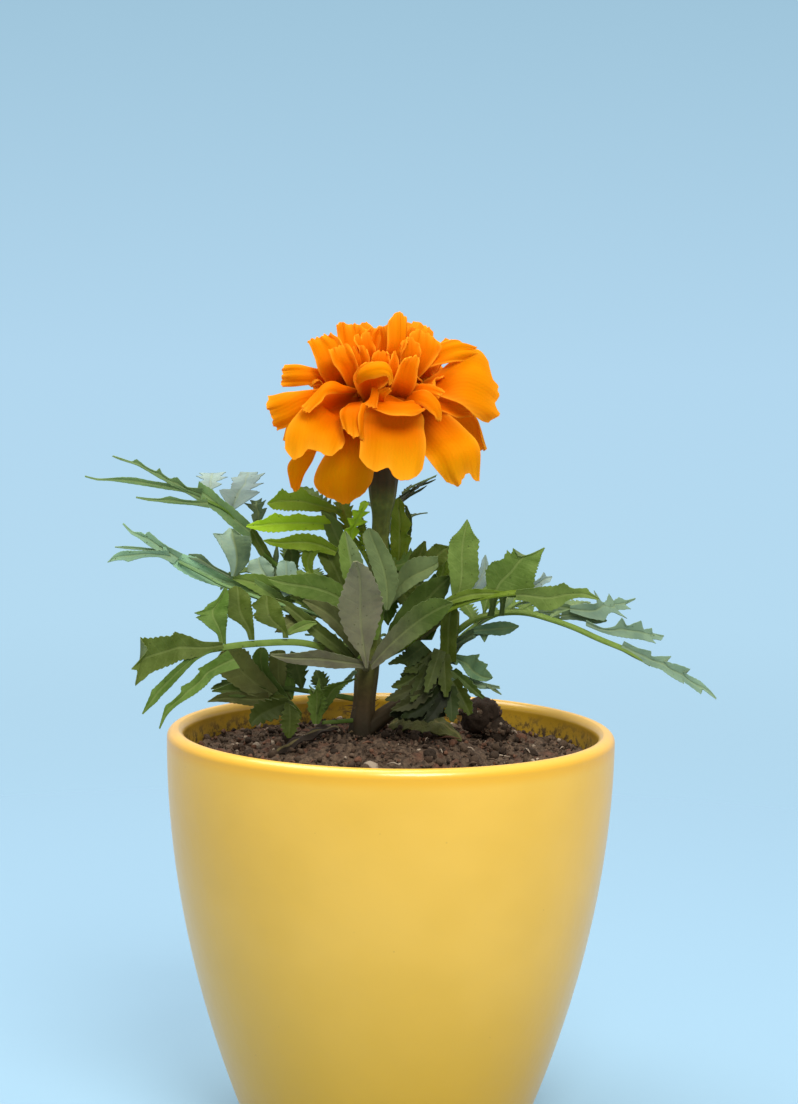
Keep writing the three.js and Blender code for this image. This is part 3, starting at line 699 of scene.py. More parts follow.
def add_root(shape, rng):
    """Adds a bit of root or bark that lies on the compost."""
    x, y = random_place(rng, ROOT["within"])
    b = rng.uniform(0, math.pi)
    half = rng.uniform(*ROOT["half"]) * vec(math.cos(b), math.sin(b), 0)
    middle, bend = vec(x, y, float(hill(x, y)) + ROOT["over"]), vec(0, 0, ROOT["bend"])
    path = Path([middle - half, middle + bend, middle + half - bend], 4)
    width = rng.uniform(*ROOT["width"])
    tint = EARTHS[rng.integers(2, 6)]
    tube(shape, path, lambda s: width * (1 - 0.6 * np.abs(2 * s - 1)), 5, 5, crumb=1.0, tint=tint)


def make_compost():
    rng = np.random.default_rng(4)
    shape = Shape()
    add_bed(shape)
    coarse, fine, round_form = ball(1), ball(2), ball(4)
    sphere, sphere_tris = round_form
    for i, (at, radius) in enumerate(CLODS):
        knobs = 0.16 * lattice(sphere * 3 + i, 1, 5) + 0.1 * lattice(sphere * 7 + i, 1, 6)
        points = sphere * CLOD_FORM * (1 + knobs)[:, None] @ turned(rng).T * radius + vec(*at)
        shape.add(points, tris=sphere_tris, crumb=1.0, tint=EARTHS[0] * 0.8)
    for _ in range(SOIL["crumbs"]):
        x, y = random_place(rng, bed_radius(SOIL["level"]) - 0.6)
        size = min(CRUMB["largest"], CRUMB["usual"] * math.exp(0.5 * rng.normal()))
        at = vec(x, y, float(hill(x, y)) + 0.25 + 0.3 * size)
        add_crumb(shape, rng, at, size, fine if size > CRUMB["detailed_from"] else coarse)
    for at, radius in CLODS[:2]:
        for _ in range(SOIL["crumbs_on_a_clod"]):
            out = unit(rng.normal(size=3))
            out[2] = abs(out[2])
            size = rng.uniform(*CRUMB["on_a_clod"])
            add_crumb(shape, rng, vec(*at) + out * CLOD_FORM * radius * 0.98, size, coarse, shade=0.85)
    for _ in range(SOIL["roots"]):
        add_root(shape, rng)
    piece("crumbled_compost", "soil", shape, compost_look(), crease=80)


# ---------------------------------------------------------------- stems

# Paths from below to above as (x, y, z, radius).
STEM = [
    (-6.8, 2, 78, 3.1),
    (-6.8, 2, 91, 3.1),
    (-6.4, 1.7, 98, 2.5),
    (-5.8, 1.2, 106.5, 2.7),
    (-4.9, 0.8, 116, 2.2),
    (-4, 0.4, 127, 2.1),
    (-3.3, 0, 137.4, 1.9),
]
SHOOT = [
    (-6.2, 1.5, 91, 2),
    (-1.8, 1.8, 95, 2),
    (3.6, 2, 98.6, 1.9),
    (8.6, 2.2, 102.6, 1.9),
    (12, 2.2, 108, 1.8),
    (13.6, 2, 114, 1.7),
    (14.2, 2, 120, 1.3),
]
STALK = [
    (-3.3, 0, 137.2, 1.9),
    (-3, 0, 142, 2.1),
    (-2.8, 0, 146, 2.9),
    (-2.8, 0, 150, 3.4),
    (-2.9, 0, 156, 4.3),
    (-3, 0, 161.5, 5.2),
]
# The last of these colours is painted shade: the dark under the bloom where the calyx meets the petals.
BARK, GREEN, SHADE_UNDER_BLOOM = linear(80, 66, 44), linear(92, 104, 40), linear(62, 50, 18)
# Fine hairs and root stubs at the stem's foot: how high they grow, how far out, their length and radius.
HAIRS = {"count": 16, "height": (90, 100), "out": 2.2, "length": (1.8, 3), "radius": 0.17}
# The calyx ends in blunt teeth that hold the outer petals. Points are (x, y, z, distance out from there).
CALYX_TEETH = {
    "count": 10,
    "radius": 0.95,
    "points": [(-2.95, 0, 156.5, 4.2), (-3, 0, 160, 5.1), (-3, 0, 163.2, 6.3)],
}


def rise(points, start, length):
    """Goes from 0 to 1 while the points climb through this length from the start, as a column."""
    return smooth((points[:, 2] - start) / length)[:, None]


def stem_tint(points):
    """Bark below and green above, darkest where the stem leaves the compost."""
    share = rise(points, 96, 20)
    return (BARK * (1 - share) + GREEN * share) * (0.2 + 0.8 * rise(points, 91, 9.5))


def calyx_tint(points):
    """Green with darker flecks, and painted shade, a dark brown, where the calyx meets the petals under the
    bloom.
    """
    share = rise(points, 144, 7)
    return (GREEN * (1 - share) + SHADE_UNDER_BLOOM * share) * (1 + 0.25 * lattice(points, 2.2, 3)[:, None])


def add_stalk(shape, points, sides, steps, **options):
    """Adds a ribbed tube through points that hold its radius too."""
    path = Path(points)
    tube(shape, path, lambda s: path.at(s)[..., 3], sides, steps, **options)


def make_stem(look):
    shape = Shape()
    add_stalk(shape, STEM, 48, 70, flute=0.05, flutes=6, tint=stem_tint)
    add_stalk(shape, SHOOT, 36, 50, flute=0.05, flutes=6, tint=stem_tint)
    rng = np.random.default_rng(8)
    for _ in range(HAIRS["count"]):
        a, z = rng.uniform(0, 2 * math.pi), rng.uniform(*HAIRS["height"])
        out = vec(math.cos(a), math.sin(a), rng.uniform(-0.3, 0.5))
        foot = vec(-6.7, 2, z) + out * HAIRS["out"]
        end = foot + out * rng.uniform(*HAIRS["length"]) + vec(0, 0, rng.uniform(-0.5, 1))
        path = Path([foot, foot + out * 1.2, end], 6)
        tube(shape, path, lambda s: HAIRS["radius"] * (1 - 0.8 * s), 6, 6, tint=BARK * 1.2)
    piece("ribbed_stem", "stem", shape, look)


def make_stalk(look):
    def blunt(s):
        return CALYX_TEETH["radius"] * np.sqrt(np.maximum(0.02, 1 - s**2.2))

    shape = Shape()
    add_stalk(shape, STALK, 60, 60, flute=0.035, flutes=10, tint=calyx_tint)
    for k in range(CALYX_TEETH["count"]):
        a = 2 * math.pi * (k + 0.5) / CALYX_TEETH["count"]
        out = vec(math.cos(a), math.sin(a), 0)
        path = Path([vec(*point) + out * away for *point, away in CALYX_TEETH["points"]], 8)
        # The teeth get the same painted shade under the bloom.
        tube(shape, path, blunt, 8, 10, tint=SHADE_UNDER_BLOOM)
    piece("flower_stalk_and_calyx", "flower_stalk", shape, look)


# ---------------------------------------------------------------- leaves

# A leaflet's outline: where it is widest, how full it is before and past that, how far its sides fold up, and
# the teeth on a side: how many, how deep, where they start and how far they lean forward.
FORMS = {
    "broad": {
        "peak": 0.5, "base": 1.25, "end": 0.8, "fold": 0.28,
        "teeth": 5, "depth": 0.36, "start": 0.26, "lean": 0.3,
    },
    "lance": {
        "peak": 0.46, "base": 1.15, "end": 0.9, "fold": 0.22,
        "teeth": 8, "depth": 0.17, "start": 0.16, "lean": 0.2,
    },
    "slim": {
        "peak": 0.4, "base": 0.7, "end": 0.75, "fold": 0.35,
        "teeth": 4, "depth": 0.4, "start": 0.2, "lean": 0.6,
    },
    "saw": {
        "peak": 0.42, "base": 0.8, "end": 0.85, "fold": 0.3,
        "teeth": 8, "depth": 0.48, "start": 0.12, "lean": 0.5,
    },
    "feather": {
        "peak": 0.5, "base": 0.9, "end": 0.8, "fold": 0.3,
        "teeth": 7, "depth": 0.72, "start": 0.1, "lean": 0.7,
    },
}
TOOTH = ((0, 0.0), (0.45, 0.55), (0.8, 1.0), (0.9, 0.25))  # share of a tooth's length, how far out it is
TEETH_END = 0.97  # share of a leaflet's length
NEAR_END = 0.985  # the last share of a midrib that bears leaflets, and of a leaflet that its sides reach
COLUMNS = (-1, -0.8, -0.55, -0.28, -0.08, 0, 0.08, 0.28, 0.55, 0.8, 1)
UNEVEN = 0.35  # the share by which the teeth's depths differ
# How much a leaflet arches, sways, rolls and ripples, and how far the tints of one leaf differ.
LEAFLET = {"arch": 0.32, "sway": 0.03, "roll": 0.12, "ripple": 0.07, "waves": 1.7, "varied": 0.16}
SHEET = {"thick": 0.34, "thinner": 0.45}
# A traced blade: its rows and columns, how smooth its edges are, and how much it folds, ripples and bows.
BLADE = {
    "rows_a_rung": 6,
    "columns": 13,
    "smooth": 0.6,
    "toothed_from": 0.12,
    "fold": 0.14,
    "ripple": 0.05,
    "waves": 2.2,
    "bow": 0.05,
}
SAW = (0.0, 0.55, 1.0)  # how far out an edge is at each row of a small tooth
COARSE = 0.26  # how deep the teeth of the lowest leaves are cut
TINTS = {
    "dull": linear(88, 114, 44),
    "young": linear(124, 154, 24),
    "grey": linear(110, 134, 96),
    "mauve": linear(130, 126, 106),
    "olive": linear(84, 100, 36),
    "sea": linear(104, 136, 90),
    "frost": linear(138, 164, 150),
    # pale is a painted highlight: the sheen of lit upper faces.
    "pale": linear(146, 168, 172),
    "slate": linear(84, 106, 84),
    "steel": linear(122, 150, 132),
    "moss": linear(78, 108, 38),
    "fern": linear(102, 126, 56),
    "lime": linear(96, 118, 26),
    "ash": linear(114, 132, 88),
    "umber": linear(98, 102, 58),
    "shade": linear(66, 86, 36),
    # night is painted deep shade: the dark of leaves that lie in deep shade.
    "night": linear(38, 46, 24),
    "bottle": linear(84, 114, 86),
    "backlit": linear(80, 96, 16),
    "mist": linear(134, 172, 144),
}


def outline(form, seed):
    """Rows along a leaflet: the share of its length, and its half widths to the left and right as shares."""
    teeth, start, peak = form["teeth"], form["start"], form["peak"]
    rows = [(u, 0.0, None) for u in np.linspace(0, start, 5)[:-1]]
    for i in range(teeth):
        rows += [(start + (TEETH_END - start) * (i + share) / teeth, out, i) for share, out in TOOTH]
    rows.append((1.0, 0.0, None))
    result = []
    for u, out, i in rows:
        if u < peak:
            full = math.sin(math.pi / 2 * u / peak) ** form["base"]
        else:
            full = math.cos(math.pi / 2 * (u - peak) / (1 - peak)) ** form["end"] if u < 1 else 0
        least = 0.06 if u < start else 0.02
        halves = []
        for hand in (0, 1):
            depth = 0 if i is None else form["depth"] * (1 + UNEVEN * jitter(seed + i, hand))
            halves.append(max(least, full * (1 - depth * (1 - out))))
        result.append((u, *halves))
    return np.array(result)


def leaflet(shape, root, tip, width, face, form, tint, seed):
    """Adds a toothed leaflet from root to tip, with its upper side towards face."""
    form, root, tip = FORMS[form], vec(*root), vec(*tip)
    length = float(np.linalg.norm(tip - root))
    along = (tip - root) / length
    across = unit(np.cross(along, vec(*face)))
    up = np.cross(across, along)
    rows = outline(form, seed)
    u, v = grid_of(rows[:, 0], COLUMNS)
    half = np.where(v < 0, rows[:, 1:2], rows[:, 2:3]) * width / 2
    side = v * half
    roll = LEAFLET["roll"] * jitter(seed, 3)
    waves = np.sin(2 * math.pi * (LEAFLET["waves"] * u + 0.5 * jitter(seed, 5)) + (v < 0) * 1.3)
    ripple = LEAFLET["ripple"] * width * v**2 * waves
    fold = form["fold"] * (1 + 0.3 * jitter(seed, 4)) * np.abs(side) * (1 - 0.3 * u)
    arch = LEAFLET["arch"] * u * (1 - u) * length
    ahead = form["lean"] * np.abs(v) ** 1.6 * half * (1 - u)
    sway = LEAFLET["sway"] * length * jitter(seed, 6) * np.sin(math.pi * u)
    place = root + along * (NEAR_END * length * u + ahead)[..., None]
    place = place + across * (side * math.cos(roll) + sway)[..., None]
    place = place + up * (arch + fold + ripple + side * math.sin(roll))[..., None]
    veins = (u - form["start"]) / (TEETH_END - form["start"]) * form["teeth"] - 0.9 * np.abs(v)
    colour = np.broadcast_to(TINTS[tint] * (1 + LEAFLET["varied"] * jitter(seed, 7)), (*u.shape, 3))
    sheet(shape, place, thin_at_edges(v), up, tint=colour, reach=side, vein=veins)


def thin_at_edges(v):
    """The thickness of a leaf's sheet at each share across it."""
    return SHEET["thick"] * (1 - SHEET["thinner"] * np.abs(v))


def evened(values, reach):
    """The running mean of each column over this many rows to both sides."""
    even = np.ones(2 * reach + 1) / (2 * reach + 1)
    return np.stack([np.convolve(np.pad(column, reach, "edge"), even, "valid") for column in values.T], -1)


def traced_edge(pixels, depths, t):
    """The edge through points of the picture at their depths, part smooth and part straight."""
    points = np.array([seen(x, y, depth) for (x, y), depth in zip(pixels, depths)])
    at = np.linspace(0, 1, len(points))
    straight = np.stack([np.interp(t, at, column) for column in points.T], -1)
    return BLADE["smooth"] * knots(points, t) + (1 - BLADE["smooth"]) * straight


def toothed(edge, spine, t, saw, seed):
    """The edge with small uneven teeth, cut towards the spine."""
    cut = 1 - np.array(SAW)[(np.arange(len(t)) + 2) % len(SAW)]
    depth = saw * np.array([1 + 0.4 * jitter(seed, k) for k in range(len(t))]) * (t > BLADE["toothed_from"])
    return edge + (cut * depth)[:, None] * (spine - edge)


def blade(shape, plan, seed):
    """Adds a leaflet stretched between the two edges that were traced from the picture."""
    rungs, reach = np.array(plan["rungs"], float), BLADE["rows_a_rung"]
    t = np.linspace(0, 1, (len(rungs) - 1) * reach + 1)
    depths = np.linspace(*plan["depth"], len(rungs))
    one, two = traced_edge(rungs[:, :2], depths, t), traced_edge(rungs[:, 2:], depths, t)
    width = evened(np.linalg.norm(two - one, axis=1)[:, None], reach)
    spine = one * (1 - plan["middle"]) + two * plan["middle"]
    hold = smooth(np.minimum(t, 1 - t) * 8)[:, None]
    spine = spine * (1 - hold) + evened(spine, reach) * hold
    one, two = toothed(one, spine, t, plan["saw"], seed), toothed(two, spine, t, plan["saw"], seed + 1)
    u, w = grid_of(t, np.linspace(-1, 1, BLADE["columns"]))
    place = spine[:, None] + np.maximum(0, -w)[..., None] * (one - spine)[:, None]
    place = place + np.maximum(0, w)[..., None] * (two - spine)[:, None]
    fold = (BLADE["fold"] + 0.05 * jitter(seed, 1)) * width * np.abs(w)
    waves = np.sin(2 * math.pi * (BLADE["waves"] * u + jitter(seed, 2)) + 1.6 * (w < 0))
    ripple = BLADE["ripple"] * width * w**2 * waves
    cup = plan["curl"] * w**2 * np.sin(math.pi * u)
    bow = BLADE["bow"] * np.linalg.norm(one[-1] - one[0]) * np.sin(math.pi * u) * jitter(seed, 3)
    back = unit(place - vec(*EYE["at"]))
    place = place - back * (fold + ripple + cup + bow)[..., None]
    veins = 0.9 * (u * max(4, len(rungs)) - np.abs(w))
    # The blade's tone, partly painted light and painted shade, grows lighter towards its tip and edges.
    light = plan["tone_light_and_shade"] * (1 + 0.08 * jitter(seed, 7)) * (0.82 + 0.34 * u + 0.08 * np.abs(w))
    colour = blade_colour(plan, u, w) * light[..., None]
    sheet(shape, place, thin_at_edges(w), -back.mean((0, 1)), tint=colour, reach=w * width / 2, vein=veins)


def blade_colour(plan, u, w):
    """The colours at a blade's points: one tint or one for each side, and the tip's tint at its end."""
    pair = (plan["tint"], plan["tint"]) if isinstance(plan["tint"], str) else plan["tint"]
    colour = np.where((w < 0)[..., None], TINTS[pair[0]], TINTS[pair[1]])
    if plan["tip"]:
        colour = colour + smooth(1.3 * u)[..., None] * (TINTS[plan["tip"]] - colour)
    return colour


# A midrib: the share of its width that lies to a side, its height, its groove and how light it is.
# PLAIN has the values at which the leaf's look draws no lines on it.
RIB = {"half": 0.4, "tall": 0.72, "groove": 0.35, "narrow": 0.5, "light": 1.25}
PLAIN = {"reach": 5.0, "vein": 0.5}


def rib(shape, path, face, widths, tint, sides=10, steps=40):
    """Adds a leaf's midrib: a flattened, slightly grooved stalk along its path."""
    s = np.linspace(0, 1, steps + 1)
    centre, along = path.at(s), path.along(s)
    across = unit(np.cross(along, vec(*face)))
    up = np.cross(across, along)
    a = turn_angles(sides)
    half = RIB["half"] * (widths[0] + (widths[1] - widths[0]) * s)[:, None] * np.cos(a)
    groove = 1 - RIB["groove"] * np.exp(-(((a - math.pi / 2) / RIB["narrow"]) ** 2))
    tall = RIB["tall"] * (1 - 0.4 * s)[:, None] * np.sin(a) * groove
    rings = centre[:, None] + half[..., None] * across[:, None] + tall[..., None] * up[:, None]
    colour = RIB["light"] * TINTS[tint]
    closed_rings(shape, rings, centre[0], centre[-1], inside_out=True, tint=colour, **PLAIN)


# Each leaf: the way its blades face, the midrib's width at both ends, its tint, its path from the stem, and
# its leaflets as (share of the midrib where it springs, tip, width, form, and a tint that isn't the leaf's).
LEAVES = {
    "leaf_left_high": {
        "face": (0, -0.35, 0.95), "rib": (1.6, 2), "tint": "moss",
        "path": [(-6, 1, 109), (-14, 3, 117), (-21, 5, 124), (-30, 7, 132), (-35, 8, 137), (-39, 8, 142),
            (-45, 8, 145)],
        "leaflets": [
            (0.5, (-24, 19, 134), 6, "broad"),
            (0.36, (-32, 15, 126), 7, "broad"),
            (0.24, (-14, 12, 128), 7, "broad"),
        ],
    },
    "leaf_left_mid": {
        "face": (0, -0.75, 0.66), "rib": (1.2, 0.9), "tint": "sea",
        "path": [(-6, 0, 112), (-14, -5, 118), (-21, -8, 121), (-28, -10, 123), (-38, -11, 126.5),
            (-43, -11, 129), (-49, -11, 132)],
        "leaflets": [
            (0.3, (-26, -4, 131), 8, "lance", "fern"),
            (0.15, (-18, -5, 128), 8, "broad", "moss"),
            (0.3, (-27, -10, 116), 6, "lance", "umber"),
        ],
    },
    "leaf_left_low": {
        "face": (0, -1, 0.1), "rib": (1.9, 1.9), "tint": "fern",
        "path": [(-6.5, 1.5, 109), (-12, -6, 111), (-21, -12, 114), (-31.5, -15, 114), (-39, -17, 113.2),
            (-43.5, -18, 112.4), (-46.5, -18, 111)],
        "leaflets": [],
    },
    "leaf_left_under": {
        "face": (0, -0.9, 0.3), "rib": (1.7, 1.3), "tint": "shade",
        "path": [(-6.5, 2, 98.5), (-14.5, 4, 99.5), (-22, 7, 100), (-27, 8, 100.5), (-32, 8, 103)],
        "leaflets": [
            (0.95, (-43, 9, 99.5), 3.4, "slim"),
            (0.57, (-24, 9, 109), 6, "broad"),
            (0.34, (-18, 6, 105), 5, "broad"),
        ],
    },
    "leaf_upper_left": {
        "face": (0, -0.35, 0.93), "rib": (1.6, 1.1), "tint": "lime",
        "path": [(-4, 0.4, 128), (-7.5, 3, 134), (-11.5, 6, 138.5), (-16, 8, 141.5)],
        "leaflets": [
            (0.84, (-24, 19, 147), 5.5, "saw", "moss"),
            (0.55, (-14, 16, 146), 5, "saw", "young"),
            (0.37, (-9, 3, 143), 3, "feather", "young"),
            (0.3, (-7.5, 2, 142), 2.4, "feather", "young"),
        ],
    },
    "leaf_front_high": {
        "face": (0, -1, 0.25), "rib": (1.8, 1.6), "tint": "grey",
        "path": [(-4.7, 0.6, 117.5), (-4.2, -3, 122), (-4, -5, 125)],
        "leaflets": [],
    },
    "leaf_front": {
        "face": (0, -0.9, 0.5), "rib": (2.2, 2.4), "tint": "mauve",
        "path": [(-6, 1, 105.5), (-6, -8, 109.5), (-6.5, -15, 113.5)],
        "leaflets": [],
    },
    "leaf_right_high": {
        "face": (0, -0.6, 0.8), "rib": (2.4, 2), "tint": "lime",
        "path": [(-5.7, 1, 107.5), (0.5, -7, 111.5), (8, -12, 118), (12, -13, 122), (19, -14, 125),
            (26.5, -15, 126.5), (31.5, -16, 127), (34.5, -16, 127)],
        "leaflets": [],
    },
    "leaf_right_long": {
        "face": (0, -0.45, 0.9), "rib": (2.1, 2.3), "tint": "fern",
        "path": [(13.6, 2, 114), (18, 2, 117.5), (21.5, 2, 119), (27, 1, 120), (31.5, 0, 120), (36, -1, 119),
            (42, -1, 117), (48, -2, 114.5), (54.5, -3, 112), (60, -3, 109)],
        "leaflets": [
            (0.18, (24, 12, 131), 6, "broad", "moss"),
            (0.26, (31, 12, 130), 6, "broad", "grey"),
            (0.49, (47, 14, 121), 4.5, "saw", "grey"),
        ],
    },
    "leaf_right_small": {
        "face": (0.1, -0.6, 0.8), "rib": (1.6, 1.4), "tint": "slate",
        "path": [(12.8, 2, 110.5), (16, -1, 113), (19, -4, 115)],
        "leaflets": [],
    },
    "leaf_right_hanging": {
        "face": (0.2, -0.95, 0.3), "rib": (1.6, 1.4), "tint": "bottle",
        "path": [(11.5, 2.2, 107), (13.5, -1, 108.5), (15, -3, 108.5)],
        "leaflets": [],
    },
    "leaf_right_under": {
        "face": (0, -0.9, 0.4), "rib": (1.9, 1.5), "tint": "shade",
        "path": [(7.5, 2, 101.5), (8, -3, 103), (9, -7, 102)],
        "leaflets": [
            (0.4, (2, -5, 106), 5, "broad"),
        ],
    },
    "leaf_centre_right": {
        "face": (0.2, -0.8, 0.5), "rib": (1.7, 1.3), "tint": "moss",
        "path": [(-3.9, 0.4, 127.5), (-1, 3, 130), (0.7, 5, 133)],
        "leaflets": [
            (0.42, (10, 7, 133), 6, "broad"),
            (0.3, (8, 8, 124), 7, "broad", "olive"),
            (0.3, (6, 5, 118), 6, "lance", "olive"),
            (0.2, (-1, 4, 116), 6, "lance"),
        ],
    },
    "leaf_back_high": {
        "face": (0, -0.2, 1), "rib": (1.5, 1), "tint": "slate",
        "path": [(-3.6, 0.2, 132), (-1.5, 12, 137), (-0.6, 20, 141.5)],
        "leaflets": [
            (1, (10, 34, 149), 1.6, "saw", "night"),
            (0.83, (4, 32, 147), 2, "saw", "night"),
            (0.73, (-8, 28, 143), 2.4, "saw"),
            (0.6, (8, 23, 141), 2, "saw"),
        ],
    },
    "leaf_basal": {
        "face": (0, -1, 0.1), "rib": (1.4, 1.1), "tint": "shade",
        "path": [(-6.8, 2, 94), (-12, -1, 94), (-16, -3, 94)],
        "leaflets": [],
    },
}


def traced(tint, depth, *rungs, tone_light_and_shade=1.0, tip=None, saw=0.07, curl=0.0, middle=0.5):
    """The plan of a blade that shows in the picture, traced from base to tip.

    A rung is (x, y, x, y) in the picture, from one edge to the other, and depth is y in the scene at base and
    tip. tint is one name or one for each side, and tip is the tint it ends in. Its tone makes it lighter or
    darker: partly its own colour, partly painted light and painted shade. saw is how deep the small teeth
    are.
    curl bends the edges towards the viewer, in millimetres. middle is where the midrib lies, from 0 at the
    first edge to 1.
    """
    plan = {"tint": tint, "depth": depth, "rungs": rungs, "tone_light_and_shade": tone_light_and_shade}
    return {**plan, "tip": tip, "saw": saw, "curl": curl, "middle": middle}


